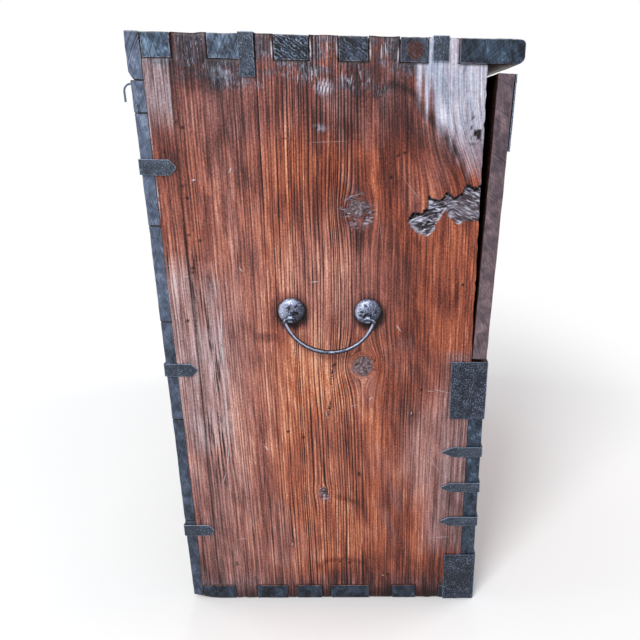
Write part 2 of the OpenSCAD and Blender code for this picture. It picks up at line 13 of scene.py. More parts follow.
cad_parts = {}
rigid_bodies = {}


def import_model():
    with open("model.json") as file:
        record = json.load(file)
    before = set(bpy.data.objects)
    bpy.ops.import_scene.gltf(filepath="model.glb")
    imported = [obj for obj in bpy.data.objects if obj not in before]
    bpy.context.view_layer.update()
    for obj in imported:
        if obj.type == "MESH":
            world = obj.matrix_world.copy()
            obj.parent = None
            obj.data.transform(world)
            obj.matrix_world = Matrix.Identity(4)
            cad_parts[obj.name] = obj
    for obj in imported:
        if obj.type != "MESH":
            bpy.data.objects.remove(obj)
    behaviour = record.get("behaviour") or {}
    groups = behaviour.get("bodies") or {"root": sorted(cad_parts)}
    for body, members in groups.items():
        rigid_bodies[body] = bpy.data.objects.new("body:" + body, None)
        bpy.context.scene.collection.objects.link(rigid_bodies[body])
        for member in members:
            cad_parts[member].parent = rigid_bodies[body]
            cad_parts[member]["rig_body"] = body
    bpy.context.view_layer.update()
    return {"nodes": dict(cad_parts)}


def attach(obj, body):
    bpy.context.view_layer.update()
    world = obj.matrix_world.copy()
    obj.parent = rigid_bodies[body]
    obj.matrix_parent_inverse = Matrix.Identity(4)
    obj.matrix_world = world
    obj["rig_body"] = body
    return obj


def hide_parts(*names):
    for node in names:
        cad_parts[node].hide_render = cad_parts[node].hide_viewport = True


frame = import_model()
MM = 0.001


def box_of(node):
    """The low and high corners of a CAD node, in millimetres."""
    corners = np.array([list(corner) for corner in frame["nodes"][node].bound_box]) / MM
    return [[round(float(v), 2) for v in corner] for corner in (corners.min(0), corners.max(0))]


end_low, end_high = box_of("left_end_board")
HALF_W = -end_low[0]
END_T = end_high[0] - end_low[0]
CHEST_H = end_high[2]
BACK_Y = box_of("back_board_1")[1][1]
TOP_Z = box_of("top_board")[0][2]
FLOOR_T = box_of("floor_board")[1][2]
print("half width", HALF_W, "back", BACK_Y, "height", CHEST_H, "end", END_T, "floor", FLOOR_T, "top", TOP_Z)

# %% [markdown]
# The camera repeats the photograph's own: it stands close to the end, a little above its middle,
# and looks down by 19 degrees. Its numbers were fitted to the corners, straps and rosettes. A track
# constraint could aim it, but writing the three axes keeps the slight roll of the picture.

# %% Camera
IMAGE = 640
FOCAL_PX = 599.3
MIDDLE_X_PX = 406.1
CAMERA_AT = Vector((-1.2255, -0.0881, 0.7482))
YAW, PITCH, ROLL = (math.radians(a) for a in (1.625, 19.109, 1.045))

ahead = Vector((math.cos(PITCH) * math.cos(YAW), -math.cos(PITCH) * math.sin(YAW), -math.sin(PITCH)))
level = Vector((-math.sin(YAW), -math.cos(YAW), 0))
upward = level.cross(ahead)
right = level * math.cos(ROLL) + upward * math.sin(ROLL)
above = -level * math.sin(ROLL) + upward * math.cos(ROLL)
bpy.ops.object.camera_add()
camera = bpy.context.object
turned = Matrix((right, above, -ahead)).transposed().to_4x4()
camera.matrix_world = Matrix.Translation(CAMERA_AT) @ turned
camera.data.sensor_width = 36
camera.data.lens = FOCAL_PX / IMAGE * camera.data.sensor_width
camera.data.shift_x = -(MIDDLE_X_PX - IMAGE / 2) / IMAGE
bpy.context.scene.camera = camera
bpy.context.scene.view_settings.view_transform = "Standard"
print("lens", round(camera.data.lens, 2), "shift", round(camera.data.shift_x, 4))

# %% [markdown]
# Materials are node trees. One function turns a written colour into the linear values that nodes
# use, and one adds a node with its settings and links. A few short ones stand for the steps that
# come back most, so that a finish reads as a list of steps.

# %% Colour and node helpers
def srgb(code):
    """A written sRGB colour such as #8a4a30 as linear red, green, blue and alpha."""
    parts = [int(code[i : i + 2], 16) / 255 for i in (1, 3, 5)]
    return [p / 12.92 if p <= 0.04045 else ((p + 0.055) / 1.055) ** 2.4 for p in parts] + [1.0]


def add(tree, kind, inputs=None, out=0, stops=None, **settings):
    """Adds a node, sets and links its inputs, and gives back one of its outputs."""
    node = tree.nodes.new("ShaderNode" + kind)
    for name, value in settings.items():
        setattr(node, name, value)
    for key, value in (inputs or {}).items():
        if isinstance(value, bpy.types.NodeSocket):
            tree.links.new(value, node.inputs[key])
        else:
            node.inputs[key].default_value = value
    if stops:
        elements = node.color_ramp.elements
        while len(elements) < len(stops):
            elements.new(0.5)
        for element, (place, colour) in zip(elements, stops):
            element.position = place
            element.color = srgb(colour) if isinstance(colour, str) else (colour,) * 3 + (1,)
    return node.outputs[out]


def maths(tree, way, *values):
    """One step of arithmetic on numbers and sockets."""
    return add(tree, "Math", dict(enumerate(values)), operation=way)


def weigh(tree, *parts, start=0.0):
    """The sum of some values, each times its weight."""
    total = start
    for value, weight in parts:
        total = maths(tree, "MULTIPLY_ADD", value, weight, total)
    return total


def span(tree, value, low, high, to_low=0.0, to_high=1.0):
    """A value stretched from one range to another, and held at its ends."""
    return add(tree, "MapRange", dict(enumerate((value, low, high, to_low, to_high))))


def ramp(tree, value, *stops):
    """A colour read off a value; each stop is a place and a written colour or a grey."""
    return add(tree, "ValToRGB", {0: value}, stops=stops)


def stretch(tree, vector, factors):
    """A vector times a factor for each axis."""
    return add(tree, "VectorMath", {0: vector, 1: factors}, operation="MULTIPLY")


def turn_x(tree, vector, degrees):
    """A vector turned about X."""
    return add(tree, "Mapping", {"Vector": vector, "Rotation": (math.radians(degrees), 0, 0)})


def noise_over(tree, vector, scale, detail, **more):
    """Soft random values over a place; scale is the number of blobs in one unit of length."""
    return add(tree, "TexNoise", {"Vector": vector, "Scale": scale, "Detail": detail, **more})


def vertex_note(tree, name):
    """A number that was kept at the vertices."""
    return add(tree, "Attribute", attribute_name=name, out="Fac")


def lay(tree, share, under, over):
    """A colour laid over another, by a share from 0 to 1 or by the name of a vertex note."""
    share = vertex_note(tree, share) if isinstance(share, str) else share
    over = srgb(over) if isinstance(over, str) else over
    return add(tree, "Mix", {0: share, 6: under, 7: over}, out=2, data_type="RGBA")


def new_material(name):
    """An empty material, with its tree and its output node's surface socket."""
    material = bpy.data.materials.new(name)
    material.use_nodes = True
    tree = material.node_tree
    tree.nodes.clear()
    end = tree.nodes.new("ShaderNodeOutputMaterial")
    return material, tree, end.inputs["Surface"]


def finish_surface(tree, surface, colour, height, bump_mm, rough, **values):
    """The shader of a finish: its colour, its bump in millimetres, and its gloss."""
    normal = add(tree, "Bump", {"Height": height, "Distance": bump_mm * MM, "Strength": 1.0})
    inputs = {"Base Color": colour, "Roughness": rough, "Normal": normal}
    inputs.update({name.replace("_", " "): value for name, value in values.items()})
    tree.links.new(add(tree, "BsdfPrincipled", inputs), surface)


# %% [markdown]
# Light: a large soft lamp near the camera, weaker ones in front, behind and on the right, and a
# pale sky. Together they give a white surface a value near one, so colours look as they are
# written. The camera and shiny things see plain white behind the chest.

# %% Light, sky and floor
def area_lamp(name, place, target, size, power):
    """A soft square lamp that faces its target."""
    bpy.ops.object.light_add(type="AREA", location=place)
    lamp = bpy.context.object
    lamp.name = name
    lamp.data.size = size
    lamp.data.energy = power
    lamp.rotation_euler = (Vector(target) - Vector(place)).to_track_quat("-Z", "Y").to_euler()


area_lamp("key", (-2.4, 0.9, 2.6), (-0.4, 0, 0.45), 1.2, 74)
area_lamp("front_fill", (0.6, -3.0, 1.9), (0, 0, 0.4), 2.0, 52)
area_lamp("back_fill", (0.2, 2.9, 1.8), (0, 0, 0.4), 2.0, 34)
area_lamp("right_fill", (2.9, 0.3, 1.7), (0.4, 0, 0.4), 2.0, 34)

world = bpy.data.worlds.new("pale_sky")
bpy.context.scene.world = world
world.use_nodes = True
sky = world.node_tree
sky.nodes.clear()


def seen_white(tree):
    """1 for rays from the camera, a reflection or a transmission, and 0 for the rest."""
    rays = tree.nodes.new("ShaderNodeLightPath").outputs
    some = maths(tree, "MAXIMUM", rays["Is Camera Ray"], rays["Is Glossy Ray"])
    return maths(tree, "MAXIMUM", some, rays["Is Transmission Ray"])


soft_sky = add(sky, "Background", {"Color": srgb("#f4f6fa"), "Strength": 0.42})
white_sky = add(sky, "Background", {"Color": (1, 1, 1, 1), "Strength": 1.0})
both = add(sky, "MixShader", {0: seen_white(sky), 1: soft_sky, 2: white_sky})
sky.links.new(both, sky.nodes.new("ShaderNodeOutputWorld").inputs["Surface"])

floor_paint, tree, surface = new_material("pale_studio_floor")
where = add(tree, "TexCoord", out="Object")
away = add(tree, "VectorMath", {0: where}, operation="LENGTH", out="Value")
far = add(tree, "MapRange", {0: away, 1: 0.7, 2: 1.6}, interpolation_type="SMOOTHSTEP")
camera_far = maths(tree, "MULTIPLY", far, seen_white(tree))
matt = add(tree, "BsdfDiffuse", {"Color": srgb("#f2f2f2")})
glow = add(tree, "Emission", {"Color": (1, 1, 1, 1), "Strength": 1.0})
tree.links.new(add(tree, "MixShader", {0: camera_far, 1: matt, 2: glow}), surface)

bpy.ops.mesh.primitive_circle_add(vertices=96, radius=14, fill_type="NGON", location=(0, 0, -0.0006))
floor = bpy.context.object
floor.name = "floor"
floor.data.materials.append(floor_paint)

# %% [markdown]
# Soft random values shape the wear: where an edge has gone round, how a stain fades, how the grain
# wanders. They come from whole-number arithmetic, so that each run gives the same chest.

# %% Random and painting helpers
def corner_value(i, j, seed):
    """A fixed random number from 0 to 1 for each corner of a grid."""
    h = (i * 374761393 + j * 668265263 + seed * 1442695041) & 0xFFFFFFFF
    h = ((h ^ (h >> 13)) * 1274126177) & 0xFFFFFFFF
    return (h ^ (h >> 16)) / 4294967296.0


def cloud(a, b, size_a, size_b, seed):
    """Soft random values from 0 to 1 in blobs of the given sizes."""
    a, b = np.asarray(a, float) / size_a, np.asarray(b, float) / size_b
    i, j = np.floor(a).astype(np.int64), np.floor(b).astype(np.int64)
    s, t = a - i, b - j
    s, t = s * s * (3 - 2 * s), t * t * (3 - 2 * t)
    low = corner_value(i, j, seed) * (1 - s) + corner_value(i + 1, j, seed) * s
    high = corner_value(i, j + 1, seed) * (1 - s) + corner_value(i + 1, j + 1, seed) * s
    return low * (1 - t) + high * t


def steps(low, high, x):
    """0 below low, 1 above high, and smooth between them."""
    t = np.clip((x - low) / (high - low), 0, 1)
    return t * t * (3 - 2 * t)


def murk(u, z, wide, high, seed):
    """Natural stains from 0 to 1: three sizes of cloud, each pushed about by another."""
    u = np.asarray(u, float) + 0.6 * wide * (cloud(u, z, 0.8 * wide, 0.8 * high, seed + 301) - 0.5)
    z = np.asarray(z, float) + 0.6 * high * (cloud(u, z, 0.7 * wide, 0.9 * high, seed + 302) - 0.5)
    total = 0.0
    for k, share in enumerate((0.5, 0.3, 0.2)):
        total += share * cloud(u + 0.37 * z * k, z - 0.21 * u * k, wide / 2**k, high / 2**k, seed + 97 * k)
    return np.clip(0.5 + 1.25 * (total - 0.5), 0, 1)


def blob(u, z, middle, size, hardness=1.0):
    """1 in the middle of an oval, falling to 0 outside it."""
    d = np.hypot((u - middle[0]) / size[0], (z - middle[1]) / size[1])
    return np.clip((1.0 - d) * hardness * 1.6, 0, 1)


def stroke(u, z, points, width):
    """1 along a line through the points, falling to 0 at the given distance from it."""
    best = np.full(np.shape(u), 1e9)
    for (ua, za), (ub, zb) in zip(points, points[1:]):
        length = max((ub - ua) ** 2 + (zb - za) ** 2, 1e-9)
        t = np.clip(((u - ua) * (ub - ua) + (z - za) * (zb - za)) / length, 0, 1)
        best = np.minimum(best, np.hypot(u - ua - t * (ub - ua), z - za - t * (zb - za)))
    return np.clip(1 - best / width, 0, 1)


# %% [markdown]
# The mesh helpers open a piece for editing, read and move its vertices, and keep numbers at them
# for the materials. The last one names a finished piece, ties it to its body and hides its CAD nodes.

# %% Mesh helpers
def only(obj):
    """Selects one object alone and makes it active, in object mode."""
    if bpy.context.mode != "OBJECT":
        bpy.ops.object.mode_set(mode="OBJECT")
    bpy.ops.object.select_all(action="DESELECT")
    obj.select_set(True)
    bpy.context.view_layer.objects.active = obj
    return obj


def put(name, data):
    """A new object in the scene."""
    obj = bpy.data.objects.new(name, data)
    bpy.context.scene.collection.objects.link(obj)
    return obj


def edit_all(obj, kind=None):
    """Opens a mesh for editing, with all of it selected."""
    only(obj)
    bpy.ops.object.mode_set(mode="EDIT")
    if kind:
        bpy.ops.mesh.select_mode(type=kind)
    bpy.ops.mesh.select_all(action="SELECT")


def end_edit():
    """Turns the selected faces outward and leaves edit mode."""
    bpy.ops.mesh.normals_make_consistent(inside=False)
    bpy.ops.object.mode_set(mode="OBJECT")


def points_of(obj, kind="co"):
    """The places of a mesh's vertices, or their normals, one row each."""
    flat = np.empty(len(obj.data.vertices) * 3)
    obj.data.vertices.foreach_get(kind, flat)
    return flat.reshape(-1, 3)


def move_points(obj, places):
    """Puts a mesh's vertices at new places."""
    obj.data.vertices.foreach_set("co", np.asarray(places, float).ravel())
    obj.data.update()


def note(obj, name, values):
    """Keeps one number for each vertex, which a material reads by its name."""
    values = np.broadcast_to(np.asarray(values, float), (len(obj.data.vertices),))
    attribute = obj.data.attributes.get(name) or obj.data.attributes.new(name, "FLOAT", "POINT")
    attribute.data.foreach_set("value", values.astype(np.float32))


def dress(obj, name, material, body, slot, *nodes):
    """Names a finished piece, gives it its material, ties it to its body, and hides its CAD nodes."""
    obj.name = obj.data.name = name
    obj.data.materials.clear()
    obj.data.materials.append(material)
    only(obj)
    bpy.ops.object.shade_smooth_by_angle(angle=math.radians(35))
    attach(obj, body)
    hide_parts(*nodes)
    return obj


def body_holding(node):
    """The body that a CAD node rides on."""
    return frame["nodes"][node]["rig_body"]


# %% [markdown]
# Pine on the end: the board was sawn flat, so its growth rings show as long upright lines, bright
# early wood beside dark late wood, which curve round each knot. The shader draws the rings along a
# value called grain, which is worked out for each vertex: the distance across the board in
# millimetres, pushed aside by every knot. Stains, worn patches and cracks are kept at the vertices
# too, because they lie at fixed places, which repeating noise can't give.

# %% Growth rings
def growth_rings(tree, across, along, spacing):
    """Late wood, fibres and blotches from 0 to 1, from millimetres across and along the grain."""
    here = add(tree, "CombineXYZ", {0: across, 1: along, 2: 0.0})

    def streaks(wide, long, detail, shift):
        thin = stretch(tree, here, (1 / wide, 1 / long, 0))
        moved = add(tree, "VectorMath", {0: thin, 1: (shift, shift * 0.7, shift)}, operation="ADD")
        return span(tree, noise_over(tree, moved, 1.0, detail, Roughness=0.6), 0.28, 0.72)

    turns = weigh(tree, (streaks(60, 900, 1, 3.1), 1.5), (streaks(24, 1100, 2, 8.3), 1.7),
                  (across, 1 / spacing), (streaks(7, 160, 2, 7.7), 0.5))
    late = ramp(tree, maths(tree, "FRACT", turns), (0.0, 0.7), (0.08, 0.05), (0.45, 0.0), (0.7, 0.15),
                (0.8, 0.9), (0.92, 1.0), (1.0, 0.7))
    each_ring = span(tree, streaks(6, 1500, 2, 1.3), 0.2, 0.8, 0.1, 1.15)
    broken = span(tree, streaks(2.5, 70, 2, 2.2), 0.0, 0.6, 0.45)
    late = maths(tree, "MULTIPLY", late, maths(tree, "MULTIPLY", each_ring, broken))
    fine = maths(tree, "ADD", streaks(1.9, 300, 2, 9.2), streaks(2.3, 55, 3, 5.9))
    body = weigh(tree, (streaks(12, 400, 4, 4.4), 0.6), (streaks(34, 80, 5, 6.1), 0.4))
    return late, span(tree, fine, 0.5, 1.5), body


# %% [markdown]
# Slits and nicks are too fine for the board's two-millimetre grid, so the shader draws each as a
# long thin oval at its own place. A slit is a dark opening along the grain, and a nick is a light
# scratch. Only the photographed end has them.

# %% Marks on the photographed end
# Each mark has the u and z of its middle, half length, half width, slope and strength
SLITS = [(232, 397, 23, 2.4, 82, 1), (227, 343, 19, 2.9, 80, 1), (269, 592, 9, 1.2, 80, 0.8),
         (180, 715, 25, 0.8, 0, 0.55), (331, 108, 12, 0.8, 2, 0.7), (186, 715, 80, 0.9, 91, 0.6),
         (240, 68, 8, 0.9, 20, 0.7), (205, 760, 40, 0.7, 89, 0.5), (21, 560, 22, 1.4, 88, 0.9),
         (221, 14, 7, 1.2, 80, 1), (47, 310, 30, 1.0, 90, 0.8), (48, 465, 12, 1.6, 90, 0.9),
         (394, 34, 12, 1.0, 95, 0.8), (262, 716, 26, 0.7, 4, 0.4), (345, 505, 30, 0.7, 92, 0.4),
         (152, 230, 45, 0.8, 91, 0.5)]
NICKS = [(64, 663, 4, 1.0, 10, 0.9), (111, 676, 5, 1.1, 60, 0.9), (212, 532, 8, 0.9, 6, 0.6),
         (325, 467, 7, 1.1, 125, 0.7), (133, 278, 6, 1.1, 127, 0.8), (287, 360, 4, 0.9, 30, 0.8),
         (382, 250, 22, 0.5, 118, 0.5), (388, 372, 15, 0.7, -14, 0.5), (372, 372, 7, 0.8, 0, 0.5),
         (345, 336, 4, 0.9, 90, 0.7), (42, 537, 5, 0.9, 15, 0.7), (79, 525, 24, 1.0, 94, 0.55),
         (81, 440, 50, 1.3, 91, 0.75), (80, 345, 60, 1.2, 90, 0.7), (76, 262, 30, 1.1, 82, 0.55),
         (67, 225, 14, 0.9, 70, 0.45), (88, 116, 13, 0.6, 4, 0.5), (395, 119, 19, 0.7, 2, 0.5),
         (257, 173, 3, 1.0, 80, 0.7), (305, 45, 2, 1.2, 0, 0.9), (262, 348, 7, 0.8, 20, 0.5),
         (163, 106, 3, 1.0, 60, 0.7), (115, 548, 5, 1.0, 120, 0.6), (150, 545, 3, 0.9, 50, 0.6),
         (223, 333, 8, 0.6, 100, 0.8), (236, 392, 20, 0.5, 97, 0.6), (18, 640, 30, 1.0, 90, 0.6),
         (18, 720, 40, 0.9, 90, 0.5), (216, 816, 14, 1.3, 90, 0.8), (217, 789, 9, 1.1, 88, 0.8),
         (222, 791, 8, 0.9, 93, 0.7), (170, 816, 13, 1.3, 91, 0.8), (287, 816, 12, 1.3, 90, 0.7),
         (247, 818, 10, 1.2, 92, 0.6), (320, 812, 10, 1.2, 88, 0.7), (236, 820, 8, 1.2, 97, 0.6),
         (300, 814, 12, 1.2, 88, 0.6), (305, 818, 9, 1.0, 94, 0.6), (200, 786, 9, 0.9, 86, 0.6),
         (264, 784, 8, 0.9, 80, 0.6), (275, 790, 7, 0.9, 105, 0.6), (253, 786, 9, 0.9, 93, 0.6),
         (83, 470, 26, 1.3, 86, 0.8), (235, 712, 30, 0.5, 3, 0.35), (340, 655, 24, 0.5, 130, 0.35),
         (300, 600, 20, 0.5, 95, 0.3)]


def inside_marks(tree, place, marks):
    """The strength of a mark inside it, and 0 outside them all."""
    some = 0.0
    for u, z, long, wide, angle, strength in marks:
        local = add(tree, "Mapping", {
            "Vector": place, "Location": (0, (BACK_Y - u) * MM, z * MM),
            "Rotation": (math.radians(-angle), 0, 0), "Scale": (1, long * MM, wide * MM)},
            vector_type="TEXTURE")
        near = add(tree, "VectorMath", {0: stretch(tree, local, (0, 1, 1))}, operation="LENGTH", out="Value")
        some = maths(tree, "MAXIMUM", span(tree, near, 1.0, 0.4, 0.0, strength), some)
    return some


def torn_fibres(tree, place):
    """Raised fibres of the torn scar: they slant one way in its left part, and another in its right."""
    ways = []
    for slope in (14, -24):
        slanted = stretch(tree, turn_x(tree, place, slope), (1, 80, 350))
        ways.append(noise_over(tree, slanted, 1.0, 4.0, Distortion=1.2))
    forward = add(tree, "SeparateXYZ", {0: place}, out="Y")
    return add(tree, "Mix", {0: span(tree, forward, -0.158, -0.176), 2: ways[0], 3: ways[1]})


# %% [markdown]
# The finish of the ends lays its colours in order: lacquer, then bare, stained and worn wood, the
# worn wood with a painted sheen, then knots, the scar with a painted highlight on its lower edge,
# scratches, and cracks, which also hold the painted shadow under the scar's upper rim. The numbers
# kept at the vertices say how much of each shows, and most of them take their light and dark from
# the same grain.

# %% Pine on the ends
def end_pine(name, marks):
    """Flat-sawn pine under worn brown lacquer: satin where it is left, matt and pale where bare, with painted
    sheen.
    """
    material, tree, surface = new_material(name)
    place = add(tree, "TexCoord", out="Object")
    along = maths(tree, "MULTIPLY", add(tree, "SeparateXYZ", {0: place}, out="Z"), 1000.0)
    late, fine, body = growth_rings(tree, vertex_note(tree, "grain"), along, 4.1)
    late = maths(tree, "MULTIPLY", late, vertex_note(tree, "lines"))
    chips = noise_over(tree, place, 360.0, 3.0)
    shade = weigh(tree, (fine, 0.42), (body, 0.38), (late, 0.85), (chips, 0.55),
                  (vertex_note(tree, "tone"), -1.0), start=-0.3)

    # Brown lacquer, with the bare, stained and worn wood and the knots laid over it; the worn wood also carries
    # a painted sheen
    colour = ramp(tree, shade, (0.03, "#dfab8e"), (0.15, "#c7805e"), (0.32, "#a65c42"), (0.5, "#814131"),
                  (0.7, "#522720"), (1.0, "#1c0b09"))
    bare = ramp(tree, shade, (0.08, "#d0babb"), (0.33, "#ac9192"), (0.6, "#7d6061"), (1.0, "#2c1d1e"))
    stained = ramp(tree, shade, (0.1, "#93a8c0"), (0.35, "#62707f"), (0.6, "#3a3d48"), (1.0, "#121116"))
    # The light end of this ramp is bluish white: bare wood with a painted sheen.
    worn = ramp(tree, shade, (0.05, "#e4ebf8"), (0.3, "#c4cfe2"), (0.6, "#9aa6bc"), (1.0, "#4a505e"))
    bark = noise_over(tree, place, 260.0, 3.0, Distortion=0.5)
    disc = ramp(tree, bark, (0.34, "#211b1e"), (0.48, "#544a50"), (0.66, "#94878e"))
    for share, over in (("mauve", bare), ("slate", stained), ("pale", worn), ("knot", disc)):
        colour = lay(tree, share, colour, over)

    # The torn scar, with its dried part and a painted highlight along its lower edge
    fibres = torn_fibres(tree, place)
    torn = ramp(tree, fibres, (0.39, "#0b080b"), (0.45, "#2e2930"), (0.51, "#6b6673"), (0.58, "#a3a4b6"),
                (0.65, "#dcdfea"))
    colour = lay(tree, "scar", colour, lay(tree, "dried", torn, "#54464c"))
    colour = lay(tree, "lip_highlight", colour, "#b9b6c4")

    # Scratches, crazed lacquer, cracks and marks
    scratched = span(tree, noise_over(tree, stretch(tree, place, (1, 950, 190)), 1.0, 2.0), 0.55, 0.65)
    colour = lay(tree, maths(tree, "MULTIPLY", scratched, vertex_note(tree, "fleck")), colour, "#9dabc2")
    crazed = maths(tree, "MULTIPLY", span(tree, fine, 0.62, 0.75), vertex_note(tree, "craze"))
    colour = lay(tree, crazed, colour, "#1b1012")
    colour = lay(tree, "crack", colour, "#140b0a")
    for listed, code in marks:
        some = maths(tree, "MULTIPLY", inside_marks(tree, place, listed), span(tree, chips, 0.35, 0.5))
        colour = lay(tree, some, colour, code)

    height = maths(tree, "MULTIPLY_ADD", fine, 0.4, late)
    height = add(tree, "Mix", {0: vertex_note(tree, "scar"), 2: height, 3: fibres})
    bared = maths(tree, "MAXIMUM", vertex_note(tree, "pale"), vertex_note(tree, "scar"))
    rough = span(tree, bared, 0.0, 1.0, 0.42, 0.68)
    finish_surface(tree, surface, colour, height, 0.8, rough, Specular_IOR_Level=0.22)
    return material


LEFT_PINE = end_pine("worn_lacquered_pine_marked", ((SLITS, "#170c0b"), (NICKS, "#cfd0d8")))
RIGHT_PINE = end_pine("worn_lacquered_pine_plain", ())
print("materials", [m.name for m in bpy.data.materials])

# %% [markdown]
# The end boards are the face of this picture. Each is modelled as a fine grid of two-millimetre
# squares, because the torn scar, the cracks and the worn edges are real relief. A subdivided cube
# would do, but a grid lets the columns lie exactly on the fingers' edges. The notches between the
# fingers are deleted, the rim is extruded back to the board's thickness, and one face closes it.

# %% Model an end panel
TOP_FINGERS = [(52, 94), (150, 172), (214, 249), (285, 322), (356, 393)]
FLOOR_FINGERS = [(69, 103), (153, 167), (207, 222), (283, 320), (358, 395)]
RIM = 3.0
CELL = 2.0


def end_panel(side, u_span, z_span, fingered):
    """A board of the end, upright; u is the distance forwards from the chest's back."""
    only(floor)
    across, high = u_span[1] - u_span[0], z_span[1] - z_span[0]
    bpy.ops.mesh.primitive_grid_add(
        x_subdivisions=round(across / CELL), y_subdivisions=round(high / CELL), size=1, location=(0, 0, 0))
    obj = bpy.context.object
    local = points_of(obj)
    lines = []
    for k, (low, length) in enumerate(((u_span[0], across), (z_span[0], high))):
        places, which = np.unique(np.round(low + (local[:, k] + 0.5) * length, 3), return_inverse=True)
        edges = [e for f in TOP_FINGERS + FLOOR_FINGERS for e in f] if k == 0 else [FLOOR_T, TOP_Z]
        for edge in edges if fingered else ():
            places[np.argmin(abs(places - edge))] = edge
        lines.append(places[which])
    u, z = lines
    move_points(obj, np.column_stack([np.full_like(u, side * HALF_W), BACK_Y - u, z]) * MM)
    only(obj)
    if fingered:
        middles = np.array([p.center for p in obj.data.polygons])
        mu, mz = BACK_Y - middles[:, 1] / MM, middles[:, 2] / MM
        cut = np.zeros(len(mu), bool)
        for beyond, fingers in ((mz > TOP_Z, TOP_FINGERS), (mz < FLOOR_T, FLOOR_FINGERS)):
            kept = np.any([(mu > f[0]) & (mu < f[1]) for f in fingers], axis=0)
            cut |= beyond & ~kept
        for name, state in (("vertices", False), ("edges", False), ("polygons", cut)):
            items = getattr(obj.data, name)
            items.foreach_set("select", np.broadcast_to(state, (len(items),)))
        bpy.ops.object.mode_set(mode="EDIT")
        bpy.ops.mesh.select_mode(type="FACE")
        bpy.ops.mesh.delete(type="FACE")
    else:
        bpy.ops.object.mode_set(mode="EDIT")
    bpy.ops.mesh.select_mode(type="EDGE")
    bpy.ops.mesh.select_all(action="DESELECT")
    bpy.ops.mesh.select_non_manifold()
    for depth in (RIM, END_T - RIM):
        bpy.ops.mesh.extrude_region_move(TRANSFORM_OT_translate={"value": (-side * depth * MM, 0, 0)})
    bpy.ops.mesh.edge_face_add()
    bpy.ops.mesh.select_all(action="SELECT")
    end_edit()
    return obj


# %% [markdown]
# What is painted and carved on the photographed end, at its own places: knots, the torn scar near
# the upper front, the seam by the back strip, worm holes, the bare pale patch with its painted sheen,
# and the stains along the edges. Each kind of wear has its own function of u and z, so it can be
# changed by itself.

# %% Knots and the torn scar
LEFT_KNOTS = [(270, 630, 14), (275, 411, 20), (213, 203, 7)]
RIGHT_KNOTS = [(120, 560, 12), (330, 300, 16), (95, 210, 9), (240, 700, 10)]
LEFT_SEED, RIGHT_SEED = 5, 15


def board_grain(u, z, knots, seed):
    """Millimetres across the growth rings, pushed aside by each knot, and the knots' own discs."""
    grain = u + 9 * cloud(u, z, 110, 520, seed) + 3 * cloud(u, z, 45, 200, seed + 1)
    if seed == LEFT_SEED:
        middle = np.interp(u, [330, 365, 400, 432], [608, 628, 640, 650])
        bend = steps(810, 640, z) ** 2 * steps(-5, 5, z - middle) * steps(318, 345, u)
        grain -= 30 * bend * steps(318, 432, u) + 6 * bend * np.sin((u - 345) / 26)
    discs = np.zeros_like(u)
    for ku, kz, radius in knots:
        du, dz = u - ku, z - kz
        reach, pushed = du**2 + (0.8 * dz) ** 2, (0.8 * radius) ** 2
        grain = grain - du * pushed / np.maximum(reach, pushed)
        round_it = np.hypot(du, dz)
        grain = grain + 1.6 * np.clip(radius * 1.05 - round_it, 0, None)
        ragged = round_it + 0.35 * radius * (cloud(u, z, 5, 5, seed + 2) - 0.5)
        discs = np.maximum(discs, 0.9 * steps(radius * 0.85, radius * 0.6, ragged))
    return grain, discs


# The torn scar's outline, from its left tip along the top, and back along the bottom
GOUGE = [(335, 615), (344, 627), (352, 624), (361, 633), (362, 647), (376, 642), (385, 652), (394, 645),
         (403, 653), (410, 663), (419, 658), (434, 663), (438, 616), (408, 616), (400, 610), (388, 623),
         (385, 631), (379, 624), (370, 605), (362, 595), (347, 601)]


def gouge_of(u, z):
    """1 inside the torn scar near the upper front corner, and 0 outside it."""
    u = u + 2.4 * (cloud(u, z, 4, 5, 31) - 0.5)
    z = z + 2.4 * (cloud(u, z, 4, 4, 32) - 0.5)
    inside = np.zeros(np.shape(u), bool)
    for (ua, za), (ub, zb) in zip(GOUGE, GOUGE[1:] + GOUGE[:1]):
        crosses = (za > z) != (zb > z)
        inside ^= crosses & (u < ua + (z - za) * (ub - ua) / (zb - za if zb != za else 1))
    return inside * 1.0


def scar_of(u, z, knot):
    """The scar and knot rims, with a painted highlight on the scar's lower edge and painted shadow under its
    top.
    """
    torn = gouge_of(u, z)
    around = blob(u, z, (270, 627), (26, 27)) * steps(0.42, 0.62, cloud(u, z, 8, 7, 41))
    low_scar = blob(u, z, (217, 200), (15, 17)) * steps(0.4, 0.6, cloud(u, z, 6, 8, 42))
    scar = np.maximum.reduce([torn, around * (1 - knot) * 0.9, low_scar * 0.8])
    lip_highlight = 0.7 * torn * (1 - gouge_of(u, z - 3.2)) * steps(0.35, 0.65, cloud(u, z, 12, 12, 33))
    rim_painted_shadow = 0.95 * torn * (1 - gouge_of(u, z + 3.6))
    dried = 0.45 * blob(u, z, (412, 630), (34, 24)) + 0.3 * steps(0.4, 0.7, murk(u, z, 12, 8, 34))
    return scar, lip_highlight, rim_painted_shadow, torn * dried


# %% [markdown]
# Worn and stained places are soft shapes at the photograph's places, roughened by murk so that
# their edges are uneven. The pale patch is bare wood that also carries a painted sheen.

# %% Pale, scratched and stained places
# Scratched places: middle u and z, half width and height, and strength
FLECKS = [(112, 788, 22, 22, 1), (211, 790, 11, 14, 1), (270, 786, 24, 20, 1), (85, 796, 26, 18, 0.6),
          (308, 815, 15, 24, 1), (62, 818, 14, 20, 0.8), (180, 792, 26, 14, 0.6), (238, 770, 22, 14, 0.4),
          (160, 812, 12, 20, 0.7), (232, 816, 12, 18, 0.9), (330, 800, 20, 14, 0.9), (140, 778, 26, 12, 0.5),
          (295, 775, 20, 14, 0.5), (240, 797, 34, 8, 0.7), (85, 818, 14, 18, 0.9), (270, 628, 26, 26, 0.3)]


